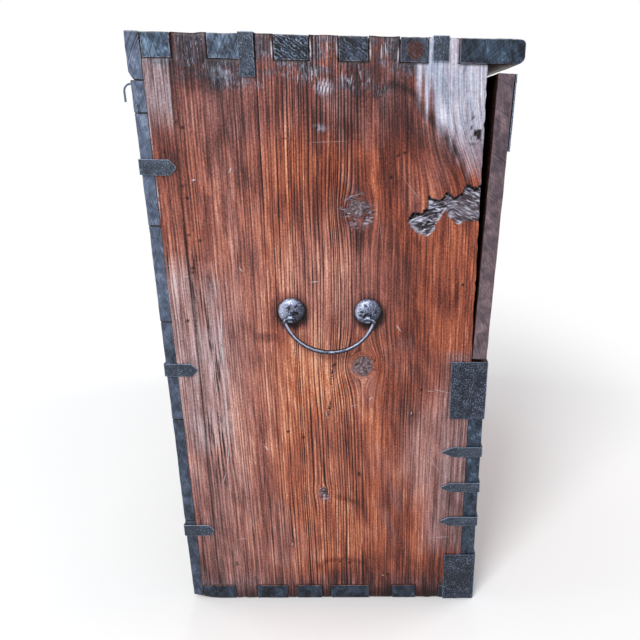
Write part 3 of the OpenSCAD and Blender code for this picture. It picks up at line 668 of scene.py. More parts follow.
def pale_of(u, z):
    """The bare pale patch by the top front corner, which also carries a painted sheen, and small bare places.
    """
    edge = np.interp(z, [655, 682, 703, 728, 752, 775, 803], [436, 402, 392, 377, 360, 351, 342])
    edge = edge + 9 * (murk(u, z, 14, 14, 50) - 0.5) + 26 * (cloud(u, z, 4.5, 110, 49) - 0.5)
    patch = steps(-12, 14, u - edge) * np.interp(z, [640, 675, 700, 735, 790], [0.08, 0.26, 0.5, 0.84, 0.95])
    combed = steps(0.35, 0.7, np.abs(((u - 0.35 * (z - 775)) / 4.3) % 1 - 0.5) * 2)
    return np.maximum.reduce([
        patch * (0.75 + 0.5 * (murk(u, z, 5, 90, 51) - 0.3)),
        0.5 * blob(u, z, (110, 790), (20, 15)) * steps(0.35, 0.65, murk(u, z, 12, 9, 59)),
        0.9 * blob(u, z, (231, 775), (15, 12)) * combed,
        0.5 * blob(u, z, (224, 728), (11, 6)) * steps(0.35, 0.6, murk(u, z, 5, 4, 55)),
        0.5 * steps(424, 429, u) * steps(0.4, 0.7, murk(u, z, 8, 14, 56)) * steps(640, 660, z)])


def flecks_of(u, z):
    """Places that are scratched down to a bluish grey."""
    found = [strength * np.clip(1.4 * blob(u, z, (mu, mz), (wide, high)), 0, 1)
             for mu, mz, wide, high, strength in FLECKS]
    return np.maximum.reduce(found) * (0.15 + 0.75 * steps(0.3, 0.8, murk(u, z, 9, 9, 52)))


def slate_of(u, z):
    """Blue-grey stains below the upper edge, on the strip, at the foot and by the front plate."""
    low = np.interp(u, [47, 100, 180, 230, 290, 320, 345], [762, 770, 766, 772, 764, 782, 776])
    slate = steps(-8, 20, z - low + 30 * (murk(u, z, 24, 20, 53) - 0.5)) * steps(352, 338, u)
    slate *= (0.1 + 0.65 * steps(0.25, 0.7, murk(u, z, 15, 12, 60))) * np.where(u < 47, steps(785, 800, z), 1)
    return np.maximum.reduce([
        slate, 0.35 * steps(700, 750, z) * (u < 47.5),
        0.75 * steps(800, 806, z) * steps(0.3, 0.62, murk(u, z, 13, 15, 48)) * steps(345, 325, u),
        0.3 * steps(690, 740, z) * steps(345, 330, u) * (0.3 + 0.7 * murk(u, z, 30, 30, 69)),
        0.4 * steps(60, 25, z) * (0.2 + murk(u, z, 30, 26, 66)),
        0.35 * steps(384, 400, u) * steps(322, 332, z) * steps(440, 424, z),
        0.8 * steps(790, 803, z) * steps(50, 62, u)
        * steps(135, 125, u) * (0.5 + 0.6 * murk(u, z, 16, 16, 65))])


def mauve_of(u, z, band):
    """Pinkish grey wood where the lacquer has worn thin: along the back, and by the front irons."""
    mauve = np.maximum.reduce([
        0.95 * band, 0.6 * steps(50, 47, u) * (0.5 + 0.7 * murk(u, z, 16, 60, 57)), 0.5 * steps(190, 70, u),
        0.85 * steps(345, 405, u) * steps(70, 120, z) * steps(350, 318, z),
        0.6 * blob(u, z, (375, 290), (60, 150)), 0.4 * steps(0.45, 0.8, murk(u, z, 60, 130, 58))])
    mauve *= 0.75 + 0.7 * (murk(u, z, 12, 70, 54) - 0.3)
    mauve *= 1 - 0.7 * steps(520, 590, z) * steps(130, 60, u)
    mauve *= 1 - 0.6 * blob(u, z, (345, 390), (60, 80))
    mauve *= 1 - 0.8 * np.clip(1.3 * blob(u, z, (235, 230), (110, 230)), 0, 1)
    return np.maximum.reduce([
        mauve, 0.85 * steps(700, 760, z) * (u < 47.5), 0.26 * blob(u, z, (235, 530), (120, 130))])


# %% [markdown]
# Broad soft ovals, runs of old dirt and a painted shadow under the bail make parts of the end
# lighter or darker, at the photograph's places.

# %% Light and dark places
# Soft ovals: amount of light, middle u and z, half width and height
SHADES = [(0.12, 228, 100, 48, 130), (0.08, 190, 330, 60, 200), (0.1, 185, 400, 60, 90),
          (0.07, 130, 300, 70, 120), (0.09, 120, 555, 50, 110), (0.09, 240, 350, 45, 60),
          (0.12, 410, 455, 28, 60), (-0.09, 180, 250, 35, 70), (-0.12, 350, 350, 55, 80),
          (-0.22, 412, 150, 26, 90), (-0.1, 240, 745, 50, 60), (0.16, 72, 740, 40, 50),
          (-0.06, 300, 655, 90, 50), (-0.1, 250, 660, 110, 80), (-0.12, 320, 560, 70, 70),
          (0.08, 120, 360, 35, 60), (-0.14, 92, 792, 50, 30), (-0.2, 268, 590, 14, 26),
          (-0.2, 144, 452, 20, 10), (-0.12, 230, 610, 90, 60), (-0.15, 245, 45, 42, 30)]
# Dark runs of dirt, and last a painted shadow under the bail's bow: strength, half width, and the points along
# each
DIRT_RUNS_AND_BAIL_SHADOW = [(0.2, 7, [(240, 193), (265, 184)]),
        (0.25, 7, [(290, 766), (315, 781), (340, 770), (352, 748), (372, 732), (395, 700)]),
        (0.2, 7, [(205, 62), (215, 74), (245, 78), (275, 70), (288, 45), (286, 30)]),
        (0.25, 8, [(75, 560), (80, 640)]),
        (0.14, 12, [(185, 455), (210, 434), (232, 428), (255, 434), (280, 455)])]
ROSETTES_U = (178, 282)


def tone_of(u, z, band, pale, slate):
    """How light the wood is, above or below its middle tone."""
    tone = 0.3 * (murk(u, z, 45, 220, 61) - 0.5) + 0.2 * (murk(u, z, 18, 60, 62) - 0.5)
    for amount, mu, mz, wide, high in SHADES:
        tone += amount * blob(u, z, (mu, mz), (wide, high))
    # The last run is a painted shadow under the bail.
    for strength, width, points in DIRT_RUNS_AND_BAIL_SHADOW:
        tone -= strength * stroke(u, z, points, width)
    # Darker wood round each rosette, and a painted shadow at its lower right.
    for mu in ROSETTES_U:
        tone -= 0.35 * blob(u, z, (mu, 489), (31, 33)) + 0.5 * blob(u, z, (mu + 3, 486), (24, 25), 2.0)
    strip_top = steps(715, 760, z) * (u < 47.5)
    tone += 0.06 * band + 0.26 * pale - 0.06 - 0.07 * steps(600, 680, z) * steps(120, 50, u) * (1 - strip_top)
    tone += 0.2 * strip_top + 0.07 * steps(130, 40, u) * steps(330, 230, z)
    tone -= 0.1 * steps(48, 45, u) * steps(520, 570, z) * steps(720, 690, z)
    tone -= 0.04 * slate + 0.05 * steps(730, 790, z) * steps(345, 325, u) * steps(47, 60, u)
    tone -= 0.14 * steps(600, 700, z) * steps(300, 340, u) * (1 - pale) + 0.1 * steps(660, 740, z)
    tone -= 0.3 * steps(32, 6, z) + 0.16 * steps(110, 25, z) * (0.3 + murk(u, z, 45, 34, 64))
    tone -= 0.1 * steps(372, 396, u) * steps(340, 322, z) + 0.12 * steps(250, 100, z) * steps(140, 60, u)
    return tone


def lines_of(u, z):
    """How strong the late-wood lines are: strong in the middle, and faint at the back and front."""
    lines = 0.3 + 0.85 * steps(120, 155, u) * steps(300, 235, u) - 0.1 * steps(290, 370, u)
    lines += 0.3 * steps(640, 700, z) * steps(240, 270, u) * steps(330, 300, u)
    lines *= 1 - 0.45 * steps(175, 130, u) * steps(480, 580, z) - 0.25 * steps(255, 300, u) * steps(560, 640, z)
    return lines * (1 - 0.6 * steps(380, 395, u) * steps(338, 322, z))


# %% [markdown]
# Cracks, worm holes and the edges of the finger joints are dark openings, which darken the wood and
# sink it a little.

# %% Cracks, holes and finger joints
# The seam between the board and the strip behind it, from the top down
SEAM = [(49, 800), (48, 700), (47, 560), (48, 470), (47, 380), (46, 210), (44, 120), (45, 30)]
HOLES = [(50, 732), (57, 726), (51, 593), (65, 586), (53, 549), (51, 543), (49, 475), (38, 475), (313, 670),
         (330, 700), (322, 697), (268, 235), (269, 232), (359, 374), (236, 412), (411, 530), (74, 70),
         (75, 66), (166, 305), (188, 296), (50, 655), (54, 640), (313, 47), (237, 72), (252, 70), (347, 334)]


def cracks_of(u, z):
    """The seam, the worm holes, and the dark gaps round the fingers."""
    crack = stroke(u, z, SEAM, 2.34)
    for hu, hz in HOLES:
        crack = np.maximum(crack, np.clip(1.9 - np.hypot(u - hu, z - hz) / 1.5, 0, 1))
    for fingers, over in ((TOP_FINGERS, z - TOP_Z), (FLOOR_FINGERS, FLOOR_T - z)):
        beyond = over > -2.5
        gap = np.min([np.abs(u - e) for f in fingers for e in f], axis=0)
        among = np.any([(u > f[0]) & (u < f[1]) for f in fingers], axis=0)
        crack = np.maximum(crack, 0.9 * beyond * np.clip(1.5 - gap / 1.4, 0, 1) * (over > -0.1))
        crack = np.maximum(crack, 0.8 * beyond * ~among * np.clip(1.4 - np.abs(over) / 1.6, 0, 1))
    return np.maximum(crack, blob(u, z, (417, 728), (16, 28)) * steps(0.66, 0.76, cloud(u, z, 4, 4, 72)))


# %% [markdown]
# A painter gathers all this for one end: it keeps the numbers at the vertices and moves the outer
# vertices in. Nothing moves outwards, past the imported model.

# %% Paint and carve the ends
def end_places(obj):
    """A panel's vertices, their u and z, and which lie on its outer side and on its outer face."""
    places = points_of(obj)
    out = np.abs(places[:, 0])
    u, z = BACK_Y - places[:, 1] / MM, places[:, 2] / MM
    return places, u, z, out > (HALF_W - RIM - 0.5) * MM, out > (HALF_W - 0.5) * MM


def keep_notes(obj, outer, outside, all_round):
    """Keeps the wear of a panel at its vertices, some of it only on the outer side."""
    for name, values in outside.items():
        note(obj, name, np.clip(values * outer, -1.2, 1.2))
    for name, values in all_round.items():
        note(obj, name, values if name == "grain" else np.clip(values, -1.2, 1.2))


def paint_left(obj):
    """Grain, colours and relief of the photographed end."""
    places, u, z, outer, face = end_places(obj)
    grain, knot = board_grain(u, z, LEFT_KNOTS, LEFT_SEED)
    scar, lip_highlight, rim_painted_shadow, dried = scar_of(u, z, knot)
    pale, slate = pale_of(u, z), slate_of(u, z)
    band = steps(44, 52, u) * steps(112, 74, u) * steps(205, 330, z) * steps(600, 500, z)
    band = np.maximum(band, steps(60, 46, u) * steps(215, 300, z) * steps(640, 520, z))
    lines = lines_of(u, z)
    tone = tone_of(u, z, band, pale, slate) + 0.1 * np.clip(lines - 0.4, 0, 1)
    lines *= 0.75 + 0.7 * (murk(u, z, 26, 160, 71) - 0.35)
    lines = np.clip(lines * (1 - 0.6 * steps(0.2, 0.8, pale)), 0, 1.2)
    craze = 0.9 * steps(46, 50, u) * steps(92, 76, u) * steps(150, 260, z) * steps(650, 540, z)
    craze = np.maximum.reduce([craze, 0.5 * steps(150, 120, u) * murk(u, z, 24, 60, 67), 0.6 * slate])
    craze *= steps(0.2, 0.6, murk(u, z, 14, 40, 68))
    # The painted shadow under the scar's upper rim is kept with the cracks, so it is as dark as they are.
    crack = np.maximum(cracks_of(u, z), rim_painted_shadow)

    depth = 4.2 * scar * (0.55 + 0.7 * cloud(u, z, 14, 4.5, 81)) + 1.3 * crack + 0.5 * cloud(u, z, 60, 160, 82)
    depth += 0.7 * blob(u, z, (144, 452), (14, 9))
    depth += 0.72 * steps(740, 833, z) * (cloud(u, z, 9, 9, 83) + cloud(u, z, 4, 6, 84))
    depth += np.clip(z - (CHEST_H - 5), 0, 5) ** 2 * (0.06 + 0.12 * cloud(u, z, 11, 60, 85))
    depth += np.clip(u - 426, 0, 2) ** 2 * (0.1 + 0.2 * cloud(z, u, 9, 60, 86)) * steps(430, 450, z)
    depth += np.clip(4 - z, 0, 4) ** 2 * (0.05 + 0.1 * cloud(u, z, 9, 60, 87))
    places[:, 0] += face * depth * MM
    nibble = outer * np.clip(u - 426.5, 0, 1.5) / 1.5 * steps(430, 470, z)
    places[:, 1] += nibble * (0.1 + 1.2 * cloud(z, u, 7, 60, 88) ** 2) * MM
    places[:, 2] -= outer * np.clip(z - 831, 0, 2) / 2 * (1.3 * cloud(u, z, 13, 60, 89) ** 2) * MM
    move_points(obj, places)
    keep_notes(
        obj, outer,
        dict(pale=pale, knot=knot, scar=scar, craze=craze, crack=crack, fleck=flecks_of(u, z), lip_highlight=lip_highlight),
        dict(grain=grain, lines=lines, tone=tone, mauve=mauve_of(u, z, band), slate=slate, dried=dried))
    return obj


def paint_right(obj):
    """The other end isn't in the picture, so it gets milder wear of the same kinds."""
    places, u, z, outer, face = end_places(obj)
    grain, knot = board_grain(u, z, RIGHT_KNOTS, RIGHT_SEED)
    pale = 0.5 * steps(0.62, 0.85, murk(u, z, 70, 120, 91)) * steps(640, 800, z)
    mauve = 0.7 * steps(60, 30, u) + 0.5 * steps(0.45, 0.8, murk(u, z, 60, 240, 92)) * steps(260, 120, u)
    tone = 0.24 * (murk(u, z, 45, 260, 93) - 0.5) - 0.25 * steps(762, 800, z) - 0.28 * steps(34, 4, z)
    lines = 0.5 + 0.5 * murk(u, z, 60, 300, 94)
    slate = 0.7 * steps(762, 800, z) * murk(u, z, 30, 18, 98)
    craze = 0.4 * steps(160, 60, u) * murk(u, z, 24, 60, 99)
    crack = 0.8 * stroke(u, z, [(205, 350), (201, 300), (203, 262)], 2.4)
    scar = 0.6 * blob(u, z, (330, 300), (20, 20)) * steps(0.5, 0.65, cloud(u, z, 7, 7, 95))
    depth = 0.5 * cloud(u, z, 60, 160, 96) + 1.2 * crack + 1.5 * scar
    depth += np.clip(z - (CHEST_H - 5), 0, 5) ** 2 * (0.06 + 0.12 * cloud(u, z, 11, 60, 97))
    places[:, 0] -= face * depth * MM
    move_points(obj, places)
    keep_notes(obj, outer, dict(pale=pale, knot=knot, scar=scar, crack=crack),
               dict(grain=grain, lines=lines, tone=tone, mauve=mauve, slate=slate, craze=craze))
    return obj


# %% [markdown]
# Both ends are made alike, each from a board and the narrow strip behind it. Their sizes are read
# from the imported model, and each end then gets its own wear and its own pine.

# %% Make the four end panels
for side, word, painter, pine in ((-1, "left", paint_left, LEFT_PINE), (1, "right", paint_right, RIGHT_PINE)):
    for node, name in ((word + "_end_board", word + "_end_pine"), (word + "_end_strip", word + "_strip_pine")):
        low, high = box_of(node)
        u_span = (BACK_Y - high[1], BACK_Y - low[1])
        panel = painter(end_panel(side, u_span, (low[2], high[2]), node.endswith("board")))
        dress(panel, name, pine, "case", "lacquered_pine", node)
        print(name, len(panel.data.polygons), "faces")

# %% [markdown]
# The other boards run along the chest, so their ends show rings as arcs round the tree's middle,
# and their faces show the same rings as long lines. Both come from one solid pattern: the distance
# from a line along X, the pith, that each board keeps for itself. A separate end-grain picture would
# break at the edges, and this one doesn't.

# %% Pine along the chest
def long_pine(name, face_stops, end_stops, rough):
    """Sawn pine whose faces keep their lacquer, with bare, darker and blue-grey end grain."""
    material, tree, surface = new_material(name)
    here = stretch(tree, add(tree, "TexCoord", out="Object"), (1000, 1000, 1000))
    pith = add(tree, "CombineXYZ", {0: 0.0, 1: vertex_note(tree, "pith_y"), 2: vertex_note(tree, "pith_z")})
    off = add(tree, "VectorMath", {0: here, 1: pith}, operation="SUBTRACT")
    ring = add(tree, "VectorMath", {0: stretch(tree, off, (0, 1, 1))}, operation="LENGTH", out="Value")
    late, fine, body = growth_rings(tree, ring, add(tree, "SeparateXYZ", {0: off}, out="X"), 4.6)
    shade = weigh(tree, (fine, 0.34), (body, 0.5), (late, 0.6), (vertex_note(tree, "tone"), -1.0))
    face = ramp(tree, shade, *face_stops)

    def grained(y_scale, z_scale, slope, detail):
        at = stretch(tree, turn_x(tree, here, slope), (0.01, y_scale, z_scale))
        return span(tree, noise_over(tree, at, 1.0, detail, Distortion=0.3), 0.3, 0.7)

    # End grain: rings and clouds of dirt, and the brown of some tails
    cut = weigh(tree, (late, vertex_note(tree, "ringed")), (grained(0.8, 0.09, 14, 2.0), 0.26),
                (grained(0.09, 0.09, 20, 5.0), 0.42), (vertex_note(tree, "pallor"), -1.0), start=0.03)
    brown_end = ramp(tree, cut, (0.2, "#7d5a4e"), (0.5, "#4c2c27"), (0.9, "#1f1212"))
    end = lay(tree, "brown", ramp(tree, cut, *end_stops), brown_end)

    # Saw marks hatch some ends, and rubbed edges are paler, both in patches
    patches = grained(0.16, 0.22, 0, 4.0)
    seen = span(tree, patches, 0.2, 0.75, 0.05)
    slanted = add(tree, "SeparateXYZ", {0: turn_x(tree, here, -38)}, out="Z")
    stripe = maths(tree, "FRACT", weigh(tree, (slanted, 1 / 3.9), (patches, 1.3)))
    stripe = ramp(tree, stripe, (0.0, 0.6), (0.1, 1.0), (0.2, 0.5), (0.32, 0.0), (0.9, 0.0), (1.0, 0.6))
    stripe = maths(tree, "MULTIPLY", maths(tree, "MULTIPLY", stripe, seen), vertex_note(tree, "hatch"))
    end = lay(tree, stripe, end, "#8fa0ba")
    worn_edge = maths(tree, "MULTIPLY", vertex_note(tree, "rubbed_and_highlight"), vertex_note(tree, "paled"))
    end = lay(tree, maths(tree, "MULTIPLY", worn_edge, seen), end, "#a9bad2")

    is_end = vertex_note(tree, "endgrain")
    colour = lay(tree, is_end, face, end)
    # Faces inside the case and in the seams are darkened: dirt, and painted shade.
    grime_and_shade = span(tree, vertex_note(tree, "inside"), 0.0, 1.0, 0.0, 0.9)
    colour = lay(tree, grime_and_shade, colour, "#1d1412")
    height = add(tree, "Mix", {0: is_end, 2: shade, 3: cut})
    finish_surface(tree, surface, colour, height, 0.5, rough, Specular_IOR_Level=0.22)
    return material


# Places and colours from light to dark, for faces and for end grain
LACQUER = [(0.15, "#b8785a"), (0.36, "#935643"), (0.55, "#703a30"), (0.75, "#4a2522"), (1.0, "#241210")]
DARK_END = [(0.08, "#a2b9d0"), (0.28, "#667c94"), (0.52, "#364456"), (0.85, "#10131a")]
FLAP_END = [(0.1, "#857277"), (0.35, "#67565c"), (0.6, "#4a3f47"), (0.95, "#231d22")]
BARE = [(0.15, "#93928f"), (0.4, "#6f6a68"), (0.62, "#4e4845"), (0.95, "#272322")]
BACK_END = [(0.0, "#8490a6"), (0.3, "#586379"), (0.6, "#3a4251"), (0.95, "#14161b")]
LONG_PINE = long_pine("lacquered_pine_long", LACQUER, DARK_END, 0.45)
FLAP_PINE = long_pine("lacquered_pine_flap", LACQUER, FLAP_END, 0.45)
BACK_PINE = long_pine("weathered_pine_back", BARE, BACK_END, 0.7)

# %% [markdown]
# Every other board and iron starts as a copy of its CAD solid, so it stays in its place. Its loose
# triangles are merged, its arrises bevelled, and planes cut it into short lengths, so that the
# vertices can move in by a random fraction of a millimetre, as planed, hit and rubbed things are.

# %% Worn copies of solids
def worn_copy(node, bevel, cuts, depth, size, seed, tight=False):
    """A copy of a CAD node with round arrises and uneven faces; lengths are in millimetres."""
    obj = put(node + "_worn", frame["nodes"][node].data.copy())
    edit_all(obj, "VERT")
    bpy.ops.mesh.remove_doubles(threshold=0.00001)
    bpy.ops.mesh.dissolve_limited(angle_limit=math.radians(2))
    end_edit()
    if bevel:
        rounder = obj.modifiers.new("arris", "BEVEL")
        rounder.width = bevel * MM
        rounder.segments = 2
        rounder.limit_method = "ANGLE"
        rounder.angle_limit = math.radians(40)
        bpy.ops.object.modifier_apply(modifier="arris")
    low, high = points_of(obj).min(0), points_of(obj).max(0)
    bpy.ops.object.mode_set(mode="EDIT")
    for axis, spacing in enumerate(cuts):
        count = int((high[axis] - low[axis]) / (spacing * MM)) if spacing else 0
        for k in range(1, count):
            place, normal = Vector((0, 0, 0)), Vector((0, 0, 0))
            place[axis] = low[axis] + (high[axis] - low[axis]) * k / count
            normal[axis] = 1
            bpy.ops.mesh.select_all(action="SELECT")
            bpy.ops.mesh.bisect(plane_co=place, plane_no=normal)
    bpy.ops.object.mode_set(mode="OBJECT")
    wear(obj, depth, size, seed, tight)
    return obj


def wear(obj, depth, size, seed, tight=False):
    """Moves vertices in along their normals by up to the given depth, in dents of the given size.
    Faces that lie on the next board, above and below, stay tight."""
    places, normals = points_of(obj), points_of(obj, "normal")
    note(obj, "rubbed_and_highlight", steps(0.97, 0.8, np.abs(normals).max(1)))
    if tight:
        depth = depth * (1 - 0.95 * steps(0.6, 0.9, np.abs(normals[:, 2])))[:, None]
    shift = Vector((seed * 1.7, seed * 0.9, seed * 2.3))
    large = np.array([noise.noise(Vector(p) / (size * MM) + shift) for p in places])
    small = np.array([noise.noise(Vector(p) / (size * 0.35 * MM) - shift) for p in places])
    amount = np.clip(0.5 + 0.35 * large + 0.3 * small, 0, 1)
    move_points(obj, places - normals * amount[:, None] * depth * MM)


# %% [markdown]
# Each board has its own pith, bevel and dents. The top board's tails at the photographed end each
# look different, so they have their own numbers. Faces inside the case and in the seams are darker,
# with dirt and painted shade, and three corners at that end are chewed.

# %% Boards along the chest
BACK_CUTS, BACK_DENTS = (24, 6, 10), (1.5, 22)
BACK_PITHS = [(120, -40), (400, 330), (90, 270), (380, 640), (110, 560)]
BOARDS = [
    # node, material, slot, bevel, cuts along x y z, dents, pith y and z
    ("top_board", LONG_PINE, "lacquered_pine", 1.6, (24, 4, 4), (1.4, 26), (-420, 560)),
    ("floor_board", LONG_PINE, "lacquered_pine", 0.9, (60, 14, 9), (0.8, 26), (60, -120)),
    ("lower_front_board", LONG_PINE, "lacquered_pine", 1.4, (24, 8, 14), (0.9, 30), (-40, -60)),
    ("flap_board", FLAP_PINE, "lacquered_pine", 2.0, (24, 8, 12), (1.2, 26), (-20, 380)),
    ("back_rail", BACK_PINE, "weathered_pine", 2.0, (24, 6, 9), (1.8, 18), (60, 740))]
for k, pith in enumerate(BACK_PITHS, 1):
    BOARDS.append((f"back_board_{k}", BACK_PINE, "weathered_pine", 1.8, BACK_CUTS, BACK_DENTS, pith))
BOARDS.append(("back_board_6", BACK_PINE, "weathered_pine", 1.4, (24, 6, 9), (1.2, 22), (400, 860)))

# How each tail of the top board's photographed end looks: from u, its hatch, brown and pallor
TOP_TAILS = [(0, 0.2, 0.0, -0.08), (80, 0.3, 0.1, -0.1), (160, 0.9, 0.0, -0.4), (232, 0.5, 0.1, -0.32),
             (305, 0.15, 0.1, -0.25), (380, 0.0, 0.0, -0.26)]
TOP_TAIL_KNOT = (340, 818)
TOP_MIDDLE = (TOP_Z + CHEST_H) / 2
END_PALLOR = {"back_board_1": -0.2, "back_board_2": -0.18, "back_board_3": -0.12, "back_board_4": -0.04,
              "back_board_5": 0.1, "back_board_6": 0.1, "back_rail": 0.12, "floor_board": -0.3,
              "lower_front_board": -0.24}
END_PALED = {"top_board": 0.8, "back_rail": 0.6, "floor_board": 0.5}


def paint_tails(x, u, z, pallor):
    """Hatch, brown and pallor of the top board's tails at the photographed end."""
    hatch, brown = np.zeros(len(u)), np.zeros(len(u))
    for start, *looks in TOP_TAILS:
        tail = (u > start) & (x < 0)
        hatch[tail], brown[tail], pallor[tail] = looks
    from_knot = np.hypot(u - TOP_TAIL_KNOT[0], z - TOP_TAIL_KNOT[1])
    return hatch, np.maximum(brown, (x < 0) * steps(13, 9, from_knot)), pallor


def dirt_and_shade_on(node, places, normals):
    """1 on the faces that lie inside the case or in a seam: dirt, and painted shade where they lie in shadow.
    """
    back, up = normals[:, 1], normals[:, 2]
    if node == "flap_board":
        return steps(0.5, 0.9, back)
    if node == "lower_front_board":
        return steps(0.3, 0.8, up) + steps(0.3, 0.8, back)
    if node == "top_board":
        return steps(0.2, 0.7, -up) * steps(-195, -205, places[:, 1])
    if node.startswith("back"):
        z = places[:, 2]
        from_seam = np.minimum(z - z.min(), z.max() - z)
        seam = 0.6 * steps(5, 1.5, from_seam) * steps(0.5, 0.8, back)
        return np.maximum(steps(0.15, 0.6, np.abs(up)), seam) * steps(826, 820, z)
    return np.zeros(len(up))


for number, (node, material, slot, bevel, cuts, dents, pith) in enumerate(BOARDS):
    at_back = node.startswith("back")
    piece = worn_copy(node, bevel, cuts, *dents, number + 1, tight=at_back)
    places = points_of(piece) / MM
    x, u, z = places[:, 0], BACK_Y - places[:, 1], places[:, 2]
    hatch, brown, pallor = 0.0, 0.0, 0.12 * (cloud(u, z, 30, 60, number) - 0.5)
    if node == "top_board":
        hatch, brown, pallor = paint_tails(x, u, z, pallor)
        past_front = np.clip(u - 464, 0, 12) / 11
        places[:, 2] = TOP_MIDDLE + (z - TOP_MIDDLE) * (1 - 0.28 * past_front**2)
        move_points(piece, places * MM)
    normals = points_of(piece, "normal")
    looks = {
        "pith_y": pith[0], "pith_z": pith[1], "hatch": hatch, "brown": brown,
        "pallor": np.clip(pallor + END_PALLOR.get(node, 0.0), -1, 1), "paled": END_PALED.get(node, 0.2),
        "inside": np.clip(dirt_and_shade_on(node, places, normals), -1, 1),
        "tone": (0.4 if at_back else 0.16) * (corner_value(number * 7, 3, 5) - 0.5),
        "ringed": 0.5 if node == "back_rail" else 0.16, "endgrain": steps(0.5, 0.8, np.abs(normals[:, 0]))}
    for name, values in looks.items():
        note(piece, name, values)

    # Chewed corners at the photographed end
    if node == "back_rail":
        places[:, 1] -= 6 * steps(790, 776, z) * steps(-380, -440, x) * steps(8, 0, u)
        move_points(piece, places * MM)
    if node in ("back_board_1", "floor_board"):
        places[:, 2] += 7 * steps(40, 0, u) * steps(-380, -440, x) * steps(12, 0, z)
        move_points(piece, places * MM)
    dress(piece, node + "_worn", material, body_holding(node), slot, node)
    print(node, len(piece.data.polygons), "faces")

# %% [markdown]
# The irons were forged from bar, blackened with oil and fire, and have gone blue-grey, with brown
# rust in the hollows and bright rubbed edges. So the finish is between a metal and a dull scale:
# nearly half metallic and fairly rough, with hammer dents of about 10 mm and pits of about 2 mm.
# The handles are smoother and brighter, because hands rub them, and they carry a painted
# highlight and painted shade.

# %% Forged iron
def forged_iron(name, dark, mid, bright, rust, grit=1.0, metallic=0.45, gloss=(0.42, 0.66)):
    """Hammered and blackened wrought iron: dull scale, pits, rubbed edges, and painted light and shade on
    handles.
    """
    material, tree, surface = new_material(name)
    here = add(tree, "TexCoord", out="Object")
    dents = noise_over(tree, here, 95.0, 1.5)
    scale = noise_over(tree, here, 520.0, 3.0, Roughness=0.6)
    large = noise_over(tree, here, 30.0, 3.0, Roughness=0.6)
    # Rubbed edges lighten the iron; on the rosettes and bails this note is a painted highlight. The hollow note
    # darkens pits and rims, and is painted shade on the handles.
    value = weigh(tree, (scale, grit), (dents, 0.2 * grit), (large, 0.25 * grit),
                  (vertex_note(tree, "rubbed_and_highlight"), 0.34), start=0.725 * (1 - grit))
    colour = lay(tree, "hollow", ramp(tree, value, (0.6, dark), (0.76, mid), (1.0, bright)), "#0d0e11")
    colour = lay(tree, span(tree, large, 0.56, 0.75, 0.0, 0.5), colour, rust)
    height = maths(tree, "MULTIPLY_ADD", dents, 2.4, scale)
    rough = span(tree, scale, 0.3, 0.7, *gloss)
    finish_surface(tree, surface, colour, height, 0.5 * grit, rough, Metallic=metallic)
    return material


IRON = forged_iron("forged_iron_blackened", "#1d222c", "#3a4453", "#97a5be", "#352f30", grit=0.75)
DARK_IRON = forged_iron("forged_iron_scaled", "#10141d", "#222a39", "#7f8da6", "#262127", grit=1.25)
SMOOTH_IRON = forged_iron("forged_iron_handled", "#191c25", "#525972", "#bcc4de", "#3b3536",
                          grit=0.9, metallic=0.35, gloss=(0.3, 0.45))

# %% [markdown]
# Every strap, plate and leaf is a worn copy of its solid, cut every 7 mm so that it can be dented.
# Pins, eyes and the hook are too thin for that, and are worn less.

# %% Irons on the boards
SMALL_IRONS = ["hasp_pin", "hinge_pins", "handle_eyes", "back_hook", "back_staple"]
FLAT_ENDINGS = ("corner_iron", "_leaf", "corner_plate", "_strap")
irons = [n for n in frame["nodes"] if n.endswith(FLAT_ENDINGS) or "corner_strap" in n or "back_strap" in n]
irons = sorted(set(irons + SMALL_IRONS + ["lock_plate", "lock_staple", "hasp"]))
for number, node in enumerate(irons, 40):
    if node in SMALL_IRONS:
        piece = worn_copy(node, 0.35, (0, 0, 0), 0.25, 14, number)
    else:
        piece = worn_copy(node, 0.9, (7, 7, 7), 0.8, 14, number)
    metal = DARK_IRON if "bottom" in node or "upper" in node else IRON
    dress(piece, node + "_forged", metal, body_holding(node), "forged_iron", node)
print(len(irons), "irons")

# %% [markdown]
# A hand-forged nail has a low, slightly faceted dome. One is made from a ten-sided disc by insets
# that rise towards the middle, and a copy is set on every nail of the CAD model, turned and sized a
# little differently each time.

# %% Nails
def dome(name, sides, radius, rings):
    """A dome on the XY plane from a disc, by insets; rings are pairs of radius share and height."""
    only(floor)
    bpy.ops.mesh.primitive_circle_add(vertices=sides, radius=radius * MM, fill_type="NGON", location=(0, 0, 0))
    obj = bpy.context.object
    obj.name = name
    edit_all(obj, "FACE")
    at, height = rings[0]
    bpy.ops.mesh.extrude_region_move(TRANSFORM_OT_translate={"value": (0, 0, height * MM)})
    for share, up in rings[1:]:
        inwards = (at - share) * radius * math.cos(math.pi / sides)
        bpy.ops.mesh.inset(thickness=inwards * MM, depth=(up - height) * MM)
        at, height = share, up
    bpy.ops.mesh.select_all(action="SELECT")
    end_edit()
    return obj


def nail_places(node):
    """Seat and direction of every nail in a CAD node, found from its separate solids."""
    edit_all(worn_copy(node, 0, (0, 0, 0), 0, 10, 0))
    bpy.ops.mesh.separate(type="LOOSE")
    bpy.ops.object.mode_set(mode="OBJECT")
    found = []
    for part in list(bpy.context.selected_objects):
        places = points_of(part)
        middle = (places.max(0) + places.min(0)) / 2
        axis = np.linalg.svd(places - places.mean(0))[2][0]
        along = (places - middle) @ axis
        off = np.linalg.norm(places - middle - np.outer(along, axis), axis=1)
        if off[along > 0].max() < off[along < 0].max():
            axis, along = -axis, -along
        found.append((middle + axis * (along.max() - 1.6 * MM), axis))
        bpy.data.objects.remove(part)
    return sorted(found, key=lambda f: [round(x, 4) for x in f[0]])


